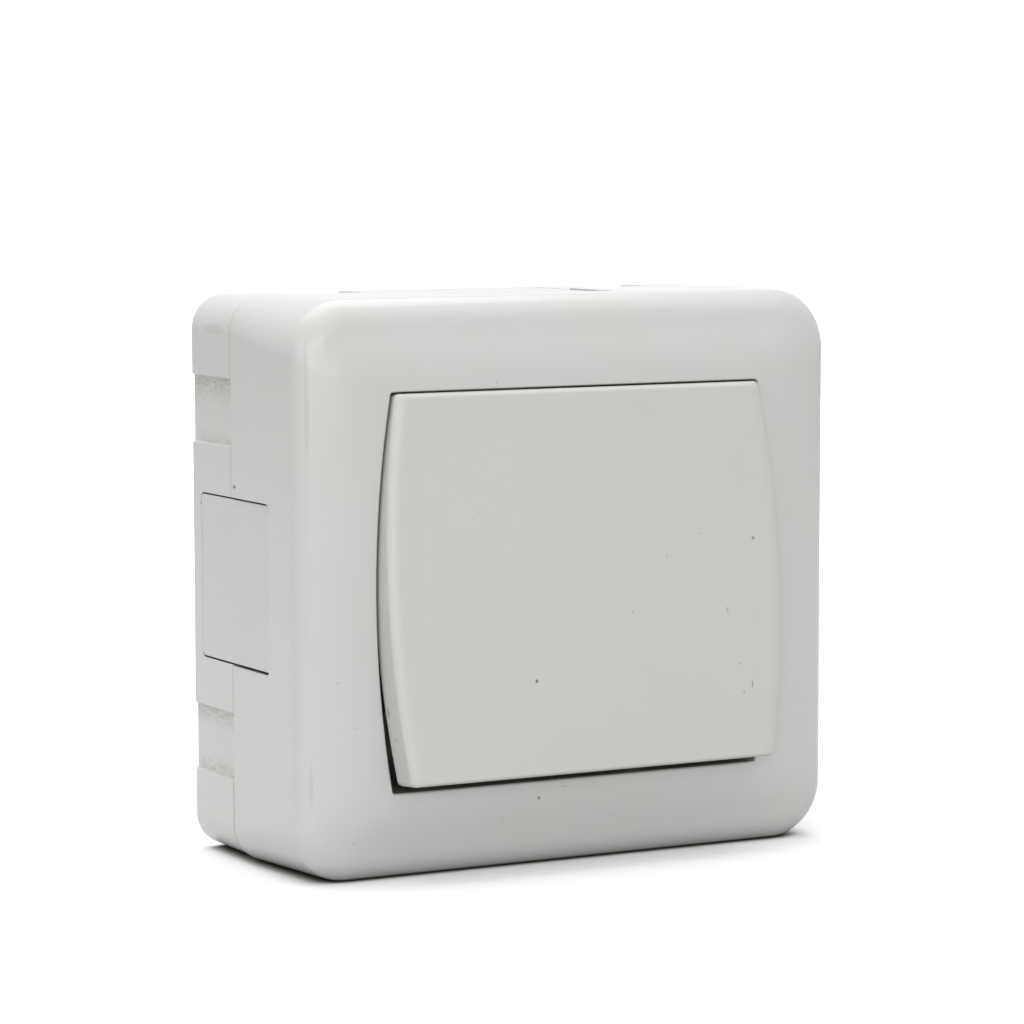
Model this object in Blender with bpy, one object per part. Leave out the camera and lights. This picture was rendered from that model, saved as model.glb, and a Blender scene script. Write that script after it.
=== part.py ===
"""Surface-mounted rocker light switch, modelled piece by piece.

Metres, +Z up. The origin is the centre of the rear face that lies on the wall, and the front looks
along -Y. A depth is a distance forward of that face, and inside the rocker's and the lever's own
frames it is a distance forward of the pivot. An inset is a distance inward of the base's sides.
"""

import math

import bmesh
import bpy
from mathutils import Matrix, Vector

# Clearances
SEAT_GAP = 0.0003
SEAM_GAP = 0.0002
RUNNING_GAP = 0.00015
OVERLAP = 0.0004

# Enclosure
BASE_WIDTH = 0.0865
BASE_HEIGHT = 0.0815
BASE_DEPTH = 0.0142
FRONT_DEPTH = 0.0387
REAR_CORNER = 0.0051
FRONT_CORNER = 0.0085
COVER_OVERHANG = 0.00025
CORNER_STEPS = 12

# Mounting base
BASE_PLATE = 0.0025
BASE_WALL = 0.0028
BASE_EDGE = 0.0004
RIM_HEIGHT = 0.0025

# Shallow recesses on the sides of the base
RECESS_CENTRE = 0.0242
RECESS_WIDTH = 0.0094
RECESS_SINK = 0.00053
RECESS_SLOPE = 0.0003

# Holes in the rear plate
WALL_SLOT_SIDE_INSET = 0.01325
WALL_SLOT_END_INSET = 0.01075
WALL_SLOT_WIDTH = 0.0046
WALL_SLOT_LENGTH = 0.0090
WALL_BOSS_RIM = 0.0020
WALL_BOSS_HEIGHT = 0.0010
CABLE_HOLE_WIDTH = 0.0260
CABLE_HOLE_HEIGHT = 0.0140
CABLE_HOLE_CENTRE = 0.0150

# Latches between base and cover
LATCH_WIDTH = 0.0070
LATCH_THICKNESS = 0.0013
LATCH_ROOT = 0.0035
LATCH_REACH = 0.0085
LATCH_BARB = 0.0006
BARB_LENGTH = 0.0025
BARB_FLAT = 0.0006
CATCH_LENGTH = 0.0015
CATCH_MARGIN = 0.0006

# Front cover
COVER_WALL = 0.0018
EDGE_RADIUS = 0.0035
EDGE_STRETCH = 1.5
CROWN_RADIUS = 0.0360
EDGE_STEPS = 7
CROWN_STEPS = 5
COLLAR_DEPTH = 0.0065
COLLAR_WALL = 0.0012
LIP_RADIUS = 0.00035
LIP_STEPS = 3

# Opening in the cover
OPENING_WIDTH = 0.0598
OPENING_HEIGHT = 0.0565
OPENING_BOW = 0.0024
OPENING_CORNER = 0.0004
BOW_STEPS = 14
SMALL_CORNER_STEPS = 3
ENTRY_CORNER_STEPS = 4

# Cable-entry inserts
ENTRY_WIDTH = 0.0238
ENTRY_REAR = 0.0035
ENTRY_FRONT = 0.0266
ENTRY_GAP = 0.0002
ENTRY_CORNER = 0.0006
ENTRY_SKIN = 0.0016
ENTRY_EDGE_WALL = 0.0012
FLANGE_THICKNESS = 0.0010
FLANGE_MARGIN = 0.0017
SCORE_RADIUS = 0.0062
SCORE_WIDTH = 0.0006
SCORE_SINK = 0.0006

# Rocker
ROCKER_TILT = math.radians(5.05)
ROCKER_PIVOT_BACK = 0.0080
ROCKER_STAND = 0.0026
ROCKER_SIDE_GAP = 0.00040
ROCKER_END_GAP = 0.00030
ROCKER_SKIRT = 0.0043
ROCKER_FACE = 0.0020
ROCKER_WALL = 0.0015
ROCKER_CORNER = 0.0007
ROCKER_SIDE_ROUND = 0.0018
ROCKER_TOP_ROUND = 0.0008
ROCKER_FOOT_ROUND = 0.0005
ROCKER_ROUND_DEPTH = 0.0009
ROCKER_ROUND_STEPS = 6
ROCKER_RIB = 0.0010
ROCKER_RIB_HEIGHT = 0.0014
RIB_INSET = 0.0085

# Cradle under the rocker
CRADLE_WIDTH = 0.0320
CRADLE_HEIGHT = 0.0270
CRADLE_PLATE = 0.0018
CRADLE_CORNER = 0.0020
ARM_THICKNESS = 0.0023
ARM_WIDTH = 0.0070
PIN_RADIUS = 0.0015
TUBE_WALL = 0.00125
TUBE_REACH = 0.0075
TUBE_CAP = 0.0009
HOOK_WIDTH = 0.0050
HOOK_THICKNESS = 0.0013
HOOK_BARB = 0.0010
HOOK_BARB_LENGTH = 0.0009
HOOK_SPACING = 0.0200

# Plunger and spring
PLUNGER_RADIUS = 0.00205
PLUNGER_TIP_RADIUS = 0.0010
PLUNGER_TAIL = 0.0025
PLUNGER_SHOULDER = 0.0102
PLUNGER_SWING_GAP = 0.00015
SPRING_RADIUS = 0.00155
SPRING_WIRE = 0.00022
SPRING_TURNS = 5
SPRING_TURN_STEPS = 20

# Mechanism housing
HOUSING_WIDTH = 0.0440
HOUSING_REAR = 0.0108
HOUSING_FRONT = 0.0275
HOUSING_FLOOR = 0.0030
HOUSING_CORNER = 0.0020
HOUSING_WALL = 0.0015
CHAMBER_SIDE_ROOM = 0.0010
CHAMBER_END_ROOM = 0.0012
POCKET_SIDE_ROOM = 0.0007
POCKET_END_ROOM = 0.0002
CORING_WALL = 0.0020
CHEEK_SPACING = 0.0240
CHEEK_THICKNESS = 0.0020
CHEEK_FOOT = 0.0170
CHEEK_EYE = 0.0029
EAR_WIDTH = 0.0090
EAR_THICKNESS = 0.0025

# Contact lever
LEVER_TILT = math.radians(8.5)
LEVER_PIVOT_BACK = 0.0132
LEVER_LENGTH = 0.0240
LEVER_WIDTH = 0.0084
LEVER_ARM_WIDTH = 0.0044
LEVER_HUB_LENGTH = 0.0080
LEVER_THICKNESS = 0.0008
LEVER_FACE = 0.0005
STUB_RADIUS = 0.0008
CONTACT_SPACING = 0.0200
CONTACT_RADIUS = 0.0014
CONTACT_HEAD = 0.0009
CONTACT_SHANK_RADIUS = 0.0006
CONTACT_DOME = 0.0003

# Terminals
STRIP_THICKNESS = 0.0010
STRIP_WIDTH = 0.0062
STRIP_INNER_END = 0.0075
BEARING_THICKNESS = 0.0010
BEARING_WIDTH = 0.0052
BLOCK_WIDTH = 0.0086
BLOCK_LENGTH = 0.0065
BLOCK_DEPTH = 0.0045
BLOCK_SET_BACK = 0.0006
COMMON_REACH = 0.0208
CLAMP_THICKNESS = 0.0010
CLAMP_WIDTH = 0.0068
CLAMP_LENGTH = 0.0060

# Screws
TERMINAL_HEAD_RADIUS = 0.0027
TERMINAL_HEAD_HEIGHT = 0.0020
TERMINAL_SHANK_RADIUS = 0.0014
FIXING_HEAD_RADIUS = 0.0032
FIXING_HEAD_HEIGHT = 0.0022
FIXING_SHANK_RADIUS = 0.0014
HEAD_ROOM = 0.0006
POST_RADIUS = 0.0037
POST_FLOOR = 0.0010
POST_RIB = 0.0012
POST_RIB_REACH = 0.0030
POST_RIB_DROP = 0.0030
SCREW_SLOT_WIDTH = 0.0008
SCREW_SLOT_DEPTH = 0.0009
HEAD_EDGE = 0.0005
ROUND_STEPS = 32
SMALL_ROUND_STEPS = 24
SMOOTH_ANGLE = math.radians(32)

# Sizes that follow from the ones above
CHAMBER_FLOOR = HOUSING_REAR + HOUSING_FLOOR
CHAMBER_WIDTH = LEVER_WIDTH + 2 * (SEAT_GAP + BEARING_THICKNESS + CHAMBER_SIDE_ROOM)
CHAMBER_HEIGHT = LEVER_LENGTH + 2 * CHAMBER_END_ROOM
POCKET_WIDTH = BLOCK_WIDTH + 2 * POCKET_SIDE_ROOM
POCKET_LENGTH = POCKET_END_ROOM + BLOCK_LENGTH + BLOCK_SET_BACK
HOUSING_HEIGHT = CHAMBER_HEIGHT + 2 * (HOUSING_WALL + POCKET_LENGTH)
ROCKER_PIVOT_DEPTH = FRONT_DEPTH + ROCKER_STAND - ROCKER_PIVOT_BACK
LEVER_PIVOT_DEPTH = ROCKER_PIVOT_DEPTH - LEVER_PIVOT_BACK
COVER_INNER_INSET = COVER_WALL - COVER_OVERHANG
RIM_INSET = COVER_INNER_INSET + SEAT_GAP
LATCH_INSET = RIM_INSET + LATCH_BARB
ENTRY_INNER_INSET = BASE_WALL + SEAT_GAP + FLANGE_THICKNESS
STRIP_DEPTH = CHAMBER_FLOOR + SEAT_GAP
CRADLE_FRONT = ROCKER_PIVOT_BACK - ROCKER_FACE - SEAT_GAP
CRADLE_REAR = CRADLE_FRONT - CRADLE_PLATE
TUBE_BORE = PLUNGER_RADIUS + SEAT_GAP
POST_TOP = HOUSING_REAR - SEAT_GAP
POST_CENTRE = HOUSING_WIDTH / 2 + FIXING_HEAD_RADIUS + HEAD_ROOM


def clear_scene():
    """Remove every object that the file starts with."""
    for item in list(bpy.data.objects):
        bpy.data.objects.remove(item, do_unlink=True)


def material(name, colour, roughness, metallic=0.0):
    """A plain Principled surface in the piece's own colour."""
    made = bpy.data.materials.new(name)
    made.use_nodes = True
    shader = made.node_tree.nodes["Principled BSDF"]
    shader.inputs["Base Color"].default_value = (*colour, 1.0)
    shader.inputs["Roughness"].default_value = roughness
    shader.inputs["Metallic"].default_value = metallic
    made.diffuse_color = (*colour, 1.0)
    return made


def enclosure_plastic():
    return material("enclosure_plastic", (0.60, 0.60, 0.585), 0.22)


def entry_plastic():
    return material("entry_plastic", (0.58, 0.585, 0.565), 0.30)


def rocker_plastic():
    return material("rocker_plastic", (0.60, 0.60, 0.57), 0.34)


def housing_plastic():
    return material("housing_plastic", (0.42, 0.42, 0.40), 0.45)


def cradle_plastic():
    return material("cradle_plastic", (0.50, 0.50, 0.48), 0.42)


def plunger_plastic():
    return material("plunger_plastic", (0.72, 0.70, 0.62), 0.38)


def spring_steel():
    return material("spring_steel", (0.55, 0.55, 0.56), 0.30, 1.0)


def zinc_steel():
    return material("zinc_steel", (0.62, 0.63, 0.65), 0.35, 1.0)


def terminal_brass():
    return material("terminal_brass", (0.72, 0.56, 0.30), 0.32, 1.0)


def contact_copper():
    return material("contact_copper", (0.74, 0.42, 0.28), 0.33, 1.0)


def contact_silver():
    return material("contact_silver", (0.80, 0.80, 0.78), 0.28, 1.0)


def placed(name, mesh_maker, finish=None, parent=None):
    """An object of this name from a bmesh, closed and facing out, under its parent."""
    bmesh.ops.recalc_face_normals(mesh_maker, faces=mesh_maker.faces)
    mesh = bpy.data.meshes.new(name)
    mesh_maker.to_mesh(mesh)
    mesh_maker.free()
    made = bpy.data.objects.new(name, mesh)
    bpy.context.scene.collection.objects.link(made)
    made.parent = parent
    if finish:
        mesh.materials.append(finish)
        mesh.shade_smooth()
        mesh.set_sharp_from_angle(angle=SMOOTH_ANGLE)
    return made


def combine(target, tool, operation):
    """Join or cut the target with a helper that stays out of the model."""
    tool.hide_render = True
    tool.display_type = "WIRE"
    step = target.modifiers.new(tool.name, "BOOLEAN")
    step.operation = operation
    step.solver = "EXACT"
    step.object = tool


def fuse(target, name, shapes):
    """Join the target with the shapes that this bmesh holds."""
    tool = placed(name, shapes, parent=target.parent)
    combine(target, tool, "UNION")
    return tool


def cut(target, name, shapes):
    """Take away from the target the shapes that this bmesh holds."""
    tool = placed(name, shapes, parent=target.parent)
    combine(target, tool, "DIFFERENCE")
    return tool


def pivot(name, depth, tilt):
    """An empty on a pivot's axis, turned about it to the rest position."""
    made = bpy.data.objects.new(name, None)
    bpy.context.scene.collection.objects.link(made)
    made.location = (0.0, -depth, 0.0)
    made.rotation_euler = (tilt, 0.0, 0.0)
    return made


def loft(mesh_maker, rings, closed=False):
    """Skin a row of rings with equal counts, capped at its ends or closed on itself."""
    rows = [[mesh_maker.verts.new(point) for point in ring] for ring in rings]
    pairs = list(zip(rows, rows[1:]))
    if closed:
        pairs.append((rows[-1], rows[0]))
    else:
        mesh_maker.faces.new(rows[0])
        mesh_maker.faces.new(rows[-1])
    for near, far in pairs:
        for i in range(len(near)):
            j = (i + 1) % len(near)
            mesh_maker.faces.new((near[i], near[j], far[j], far[i]))


def at_depth(outline, depth):
    """An outline of (x, z) points, laid across at a depth."""
    return [Vector((x, -depth, z)) for x, z in outline]


def prism(mesh_maker, outline, rear, front):
    """An outline of (x, z) points extruded from one depth to another."""
    loft(mesh_maker, [at_depth(outline, rear), at_depth(outline, front)])


def block(mesh_maker, across, up, rear, front):
    """A rectangular block between two x values, two z values and two depths."""
    left, right = across
    low, high = up
    prism(mesh_maker, [(left, low), (right, low), (right, high), (left, high)], rear, front)


def side_plate(mesh_maker, profile, left, right):
    """A profile of (depth, z) points extruded along X."""
    loft(mesh_maker, [[Vector((x, -depth, z)) for depth, z in profile] for x in (left, right)])


def arc(centre, radius, start, end, steps):
    """Points on an arc round a centre, both ends included."""
    turns = [start + (end - start) * i / steps for i in range(steps + 1)]
    return [(centre[0] + radius * math.cos(a), centre[1] + radius * math.sin(a)) for a in turns]


def circle(centre, radius, steps=ROUND_STEPS):
    """Points round a full circle."""
    return arc(centre, radius, 0.0, 2 * math.pi, steps)[:-1]


def rounded_rectangle(half_width, half_height, radius, steps):
    """A rectangle's outline with round corners."""
    points = []
    for quarter in range(4):
        start = quarter * math.pi / 2
        side_x = 1 if quarter in (0, 3) else -1
        side_z = 1 if quarter in (0, 1) else -1
        centre = (side_x * (half_width - radius), side_z * (half_height - radius))
        points += arc(centre, radius, start, start + math.pi / 2, steps)
    return points


def stadium(centre, length, width, upright=False, steps=ROUND_STEPS // 2):
    """A slot's outline: two half circles joined by straight sides."""
    reach = (length - width) / 2
    right = arc((reach, 0.0), width / 2, -math.pi / 2, math.pi / 2, steps)
    left = arc((-reach, 0.0), width / 2, math.pi / 2, 3 * math.pi / 2, steps)
    turned = [(-z, x) if upright else (x, z) for x, z in right + left]
    return [(centre[0] + x, centre[1] + z) for x, z in turned]


def turned(mesh_maker, profile, centre=(0.0, 0.0), steps=ROUND_STEPS):
    """A profile of (radius, depth) points turned about an axis along Y through (x, z)."""
    loft(mesh_maker, [at_depth(circle(centre, radius, steps), depth) for radius, depth in profile])


def shell_outline(inset, end_inset=None, corner=REAR_CORNER):
    """The enclosure's outline at an inset, its corners easing to small ones further in."""
    if end_inset is None:
        end_inset = inset
    radius = corner * math.exp(-inset / corner)
    return rounded_rectangle(BASE_WIDTH / 2 - inset, BASE_HEIGHT / 2 - end_inset, radius, CORNER_STEPS)


def bowed_outline(half_width, bow, top, bottom, radius):
    """An outline with level ends and sides that bow outwards."""
    middle = (top + bottom) / 2
    half_height = (top - bottom) / 2
    low = bottom + radius
    high = top - radius

    def side(z):
        return half_width + bow * (1 - ((z - middle) / half_height) ** 2)

    rows = [low + (high - low) * i / BOW_STEPS for i in range(BOW_STEPS + 1)]
    edge = side(high) - radius
    upper = arc((edge, high), radius, 0.0, math.pi / 2, SMALL_CORNER_STEPS)[1:]
    lower = arc((edge, low), radius, -math.pi / 2, 0.0, SMALL_CORNER_STEPS)[:-1]
    right = lower + [(side(z), z) for z in rows] + upper
    return right + [(-x, z) for x, z in reversed(right)]


def opening_outline(outset=0.0):
    """The cover's opening, or a line round it at an even distance."""
    half_height = OPENING_HEIGHT / 2 + outset
    corner = OPENING_CORNER + outset
    return bowed_outline(OPENING_WIDTH / 2 + outset, OPENING_BOW, half_height, -half_height, corner)


def entry_sides():
    """Each cable entry's name, its turn about Y from the left side, and its side's reach."""
    return [
        ("left", 0.0, BASE_WIDTH / 2),
        ("top", math.pi / 2, BASE_HEIGHT / 2),
        ("right", math.pi, BASE_WIDTH / 2),
        ("bottom", -math.pi / 2, BASE_HEIGHT / 2),
    ]


def turned_about_y(mesh_maker, angle):
    """Turn all that the bmesh holds about the Y axis."""
    spin = Matrix.Rotation(angle, 3, "Y")
    bmesh.ops.rotate(mesh_maker, verts=mesh_maker.verts, cent=(0, 0, 0), matrix=spin)


def merged(parts):
    """One bmesh from several that don't touch."""
    whole = bmesh.new()
    for part in parts:
        piece = bpy.data.meshes.new("piece")
        part.to_mesh(piece)
        part.free()
        whole.from_mesh(piece)
        bpy.data.meshes.remove(piece)
    return whole


def on_each_side(shape, reaches):
    """The shape, made for the left side at its reach, repeated on every side."""
    parts = []
    for _, angle, reach in reaches:
        part = bmesh.new()
        shape(part, reach)
        turned_about_y(part, angle)
        parts.append(part)
    return merged(parts)


def recess_shape(mesh_maker, reach):
    """Two shallow recesses with sloping ends in the left side."""
    outside = -reach - RECESS_SINK
    floor = -reach + RECESS_SINK
    half = RECESS_WIDTH / 2
    for side in (-1, 1):
        middle = side * RECESS_CENTRE
        steep = RECESS_SLOPE * 2
        outline = [
            (outside, middle - half - steep),
            (floor, middle - half),
            (floor, middle + half),
            (outside, middle + half + steep),
        ]
        prism(mesh_maker, outline, -OVERLAP, BASE_DEPTH + OVERLAP)


def entry_outline(outset=0.0):
    """A cable entry's (depth, z) outline, or a line round it at an even distance."""
    half_depth = (ENTRY_FRONT - ENTRY_REAR) / 2 + outset
    half_width = ENTRY_WIDTH / 2 + outset
    middle = (ENTRY_FRONT + ENTRY_REAR) / 2
    outline = rounded_rectangle(half_depth, half_width, ENTRY_CORNER + outset, ENTRY_CORNER_STEPS)
    return [(middle + depth, z) for depth, z in outline]


def entry_notch_shape(mesh_maker, reach):
    """The notch that takes the cable entry, through the left walls of base and cover."""
    outer = -reach - COVER_OVERHANG - OVERLAP
    side_plate(mesh_maker, entry_outline(ENTRY_GAP), outer, -reach + ENTRY_INNER_INSET)


def latch_profile():
    """A latch tongue's (inset, depth) outline with its outward barb."""
    root = BASE_DEPTH - LATCH_ROOT
    tip = BASE_DEPTH + LATCH_REACH
    barb = tip - BARB_LENGTH
    inner = LATCH_INSET + LATCH_THICKNESS
    return [
        (inner, root + LATCH_THICKNESS),
        (LATCH_INSET, root),
        (LATCH_INSET, barb),
        (RIM_INSET, barb),
        (RIM_INSET, barb + BARB_FLAT),
        (LATCH_INSET, tip),
        (inner, tip),
    ]


def upright_bars(mesh_maker, profile, width):
    """An (inset, depth) profile extruded along Z at each latch's place on both sides."""
    for side in (-1, 1):
        for middle in (-RECESS_CENTRE, RECESS_CENTRE):
            ends = (middle - width / 2, middle + width / 2)
            rings = [
                [Vector((side * (BASE_WIDTH / 2 - inset), -depth, z)) for inset, depth in profile]
                for z in ends
            ]
            loft(mesh_maker, rings)


def base_tray():
    """The base's form: plate, walls and the rim that the cover fits round."""
    rings = [
        at_depth(shell_outline(BASE_EDGE), 0.0),
        at_depth(shell_outline(0.0), BASE_EDGE),
        at_depth(shell_outline(0.0), BASE_DEPTH),
        at_depth(shell_outline(RIM_INSET), BASE_DEPTH),
        at_depth(shell_outline(RIM_INSET), BASE_DEPTH + RIM_HEIGHT),
        at_depth(shell_outline(BASE_WALL), BASE_DEPTH + RIM_HEIGHT),
        at_depth(shell_outline(BASE_WALL), BASE_PLATE),
    ]
    tray = bmesh.new()
    loft(tray, rings)
    return tray


def wall_slots():
    """Where each slot for a wall screw is, and whether it stands upright."""
    x = BASE_WIDTH / 2 - WALL_SLOT_SIDE_INSET
    z = BASE_HEIGHT / 2 - WALL_SLOT_END_INSET
    return [((-x, z), False), ((x, z), False), ((-x, -z), True), ((x, -z), True)]


def base_posts():
    """The bosses round the wall slots, and the posts that carry the mechanism with their ribs."""
    shapes = bmesh.new()
    length = WALL_SLOT_LENGTH + WALL_BOSS_RIM
    width = WALL_SLOT_WIDTH + WALL_BOSS_RIM
    for centre, upright in wall_slots():
        boss = stadium(centre, length, width, upright)
        prism(shapes, boss, BASE_PLATE - OVERLAP, BASE_PLATE + WALL_BOSS_HEIGHT)
    for side in (-1, 1):
        ends = [(POST_RADIUS, BASE_PLATE - OVERLAP), (POST_RADIUS, POST_TOP)]
        turned(shapes, ends, (side * POST_CENTRE, 0.0))
    return shapes


def post_ribs():
    """Upright ribs that brace each post on the plate."""
    ribs = bmesh.new()
    reach = POST_RADIUS + POST_RIB_REACH
    for side in (-1, 1):
        middle = side * POST_CENTRE
        half = POST_RIB / 2
        across = (middle - half, middle + half)
        block(ribs, across, (-reach, reach), BASE_PLATE - OVERLAP, POST_TOP - POST_RIB_DROP)
    return ribs


def base_holes():
    """The wall slots, the cable hole and the posts' screw holes."""
    holes = bmesh.new()
    for centre, upright in wall_slots():
        slot = stadium(centre, WALL_SLOT_LENGTH, WALL_SLOT_WIDTH, upright)
        prism(holes, slot, -OVERLAP, BASE_PLATE + WALL_BOSS_HEIGHT + OVERLAP)
    cable = stadium((0.0, CABLE_HOLE_CENTRE), CABLE_HOLE_WIDTH, CABLE_HOLE_HEIGHT)
    prism(holes, cable, -OVERLAP, BASE_PLATE + OVERLAP)
    bore = FIXING_SHANK_RADIUS + SEAT_GAP
    for side in (-1, 1):
        ends = [(bore, BASE_PLATE + POST_FLOOR), (bore, POST_TOP + OVERLAP)]
        turned(holes, ends, (side * POST_CENTRE, 0.0))
    return holes


def mounting_base():
    """The rear moulding, with its rim, latches, posts and holes."""
    base = placed("mounting_base", base_tray(), enclosure_plastic())
    tongues = bmesh.new()
    upright_bars(tongues, latch_profile(), LATCH_WIDTH)
    fuse(base, "latch_tongues", tongues)
    fuse(base, "post_ribs", post_ribs())
    fuse(base, "base_posts", base_posts())
    cut(base, "base_holes", base_holes())
    cut(base, "base_notches", on_each_side(entry_notch_shape, entry_sides()))
    cut(base, "side_recesses", on_each_side(recess_shape, entry_sides()))
    return base


def cover_profile(wall):
    """(inward distance, depth) points of the cover's skin, or of a skin this far inside it."""
    reach = (BASE_HEIGHT - OPENING_HEIGHT) / 2 + COVER_OVERHANG
    slope = math.asin((reach - EDGE_RADIUS) / (CROWN_RADIUS - EDGE_RADIUS))
    crown_centre = FRONT_DEPTH - CROWN_RADIUS
    edge_centre = crown_centre + (CROWN_RADIUS - EDGE_RADIUS) * math.cos(slope)
    points = [(0.0, BASE_DEPTH + SEAM_GAP)]
    for i in range(EDGE_STEPS + 1):
        turn = (math.pi / 2 - slope) * i / EDGE_STEPS
        radius = EDGE_RADIUS - wall
        points.append((radius * (1 - math.cos(turn)), edge_centre + radius * math.sin(turn)))
    for i in range(1, CROWN_STEPS + 1):
        turn = slope * (1 - i / CROWN_STEPS)
        radius = CROWN_RADIUS - wall
        points.append((reach - wall - radius * math.sin(turn), crown_centre + radius * math.cos(turn)))
    return points


def cover_ring(wall, inward, depth):
    """The cover's ring: its edge runs in further at the top and bottom than at the sides."""
    reach = (BASE_HEIGHT - OPENING_HEIGHT) / 2 + COVER_OVERHANG - wall
    edge = EDGE_RADIUS - wall
    if inward < edge:
        end_inward = EDGE_STRETCH * inward
    else:
        end_inward = reach - (reach - EDGE_STRETCH * edge) * (reach - inward) / (reach - edge)
    share = (depth - BASE_DEPTH) / (FRONT_DEPTH - BASE_DEPTH)
    corner = REAR_CORNER + (FRONT_CORNER - REAR_CORNER) * share
    start = wall - COVER_OVERHANG
    return at_depth(shell_outline(start + inward, start + end_inward, corner), depth)


def cover_shell():
    """The cover's crowned skin, closed in front until its opening is cut."""
    outer = [cover_ring(0.0, *point) for point in cover_profile(0.0)]
    inner = [cover_ring(COVER_WALL, *point) for point in cover_profile(COVER_WALL)]
    shell = bmesh.new()
    loft(shell, outer[::-1] + inner)
    return shell


def opening_cutter():
    """The opening's sides, flared in front to leave a round lip."""
    rings = [at_depth(opening_outline(), FRONT_DEPTH - COLLAR_DEPTH - OVERLAP)]
    for i in range(LIP_STEPS + 1):
        turn = math.pi / 2 * i / LIP_STEPS
        outset = LIP_RADIUS * (1 - math.cos(turn))
        depth = FRONT_DEPTH - LIP_RADIUS * (1 - math.sin(turn))
        rings.append(at_depth(opening_outline(outset), depth))
    rings.append(at_depth(opening_outline(LIP_RADIUS), FRONT_DEPTH + OVERLAP))
    cutter = bmesh.new()
    loft(cutter, rings)
    return cutter


def catch_profile():
    """The (inset, depth) outline of the cover's catch behind a latch's barb."""
    front = BASE_DEPTH + LATCH_REACH - BARB_LENGTH - SEAT_GAP
    rear = front - CATCH_LENGTH
    edge = LATCH_INSET - SEAT_GAP
    root = COVER_INNER_INSET - OVERLAP
    return [(root, rear - CATCH_MARGIN), (edge, rear), (edge, front), (root, front)]


def front_cover():
    """The crowned front moulding, with its collar, catches and notches."""
    cover = placed("front_cover", cover_shell(), enclosure_plastic())
    collar = bmesh.new()
    prism(collar, opening_outline(COLLAR_WALL), FRONT_DEPTH - COLLAR_DEPTH, FRONT_DEPTH - COVER_WALL / 2)
    fuse(cover, "opening_collar", collar)
    catches = bmesh.new()
    upright_bars(catches, catch_profile(), LATCH_WIDTH + 2 * CATCH_MARGIN)
    fuse(cover, "latch_catches", catches)
    cut(cover, "cover_opening", opening_cutter())
    cut(cover, "cover_notches", on_each_side(entry_notch_shape, entry_sides()))
    return cover


def cable_entry(name, angle, reach, finish):
    """A cable-entry insert: a skin in the notch, with a flange behind the walls."""
    half = ENTRY_WIDTH / 2
    pocket = half - ENTRY_EDGE_WALL
    flange = half + FLANGE_MARGIN
    inner = -reach + ENTRY_INNER_INSET
    skin = bmesh.new()
    side_plate(skin, entry_outline(), -reach, inner)
    plate = bmesh.new()
    flange_rear = BASE_PLATE + SEAT_GAP
    flange_front = ENTRY_FRONT + FLANGE_MARGIN
    block(plate, (inner - FLANGE_THICKNESS, inner), (-flange, flange), flange_rear, flange_front)
    hollow = bmesh.new()
    rear = ENTRY_REAR + ENTRY_EDGE_WALL
    front = ENTRY_FRONT - ENTRY_EDGE_WALL
    block(hollow, (-reach + ENTRY_SKIN, inner + OVERLAP), (-pocket, pocket), rear, front)
    score = bmesh.new()
    middle = (ENTRY_REAR + ENTRY_FRONT) / 2
    floor = -reach + ENTRY_SKIN
    rings = []
    for x, radius in [
        (floor - SCORE_SINK, SCORE_RADIUS),
        (floor - SCORE_SINK, SCORE_RADIUS - SCORE_WIDTH),
        (floor + OVERLAP, SCORE_RADIUS - SCORE_WIDTH),
        (floor + OVERLAP, SCORE_RADIUS),
    ]:
        rings.append([Vector((x, -depth, z)) for depth, z in circle((middle, 0.0), radius)])
    loft(score, rings, closed=True)
    for shapes in (skin, plate, hollow, score):
        turned_about_y(shapes, angle)
    entry = placed(name, skin, finish)
    fuse(entry, name + "_flange", plate)
    cut(entry, name + "_pocket", hollow)
    cut(entry, name + "_score", score)
    return entry


def rocker_half_sizes():
    """The rocker's half width at its corners and half height, from the opening and its tilt."""
    half_width = OPENING_WIDTH / 2 - ROCKER_SIDE_GAP
    rise = ROCKER_PIVOT_BACK * math.sin(ROCKER_TILT)
    half_height = (OPENING_HEIGHT / 2 - ROCKER_END_GAP - rise) / math.cos(ROCKER_TILT)
    return half_width, half_height


def rocker_ring(wall, side_inset, top_inset, foot_inset, depth):
    """The rocker's outline at a depth, with its edges drawn in."""
    half_width, half_height = rocker_half_sizes()
    outline = bowed_outline(
        half_width - wall - side_inset,
        OPENING_BOW,
        half_height - wall - top_inset,
        -half_height + wall + foot_inset,
        ROCKER_CORNER,
    )
    return at_depth(outline, depth)


def rocker_tray():
    """The button's face and skirt: its edges are rounded wide at the sides and tight at the ends."""
    front = ROCKER_PIVOT_BACK
    rings = [rocker_ring(ROCKER_WALL, 0.0, 0.0, 0.0, front - ROCKER_FACE)]
    rings.append(rocker_ring(ROCKER_WALL, 0.0, 0.0, 0.0, front - ROCKER_SKIRT))
    rings.append(rocker_ring(0.0, 0.0, 0.0, 0.0, front - ROCKER_SKIRT))
    for i in range(ROCKER_ROUND_STEPS + 1):
        turn = math.pi / 2 * i / ROCKER_ROUND_STEPS
        share = 1 - math.cos(turn)
        depth = front - ROCKER_ROUND_DEPTH * (1 - math.sin(turn))
        insets = [share * size for size in (ROCKER_SIDE_ROUND, ROCKER_TOP_ROUND, ROCKER_FOOT_ROUND)]
        rings.append(rocker_ring(0.0, *insets, depth))
    tray = bmesh.new()
    loft(tray, rings)
    return tray


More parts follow.
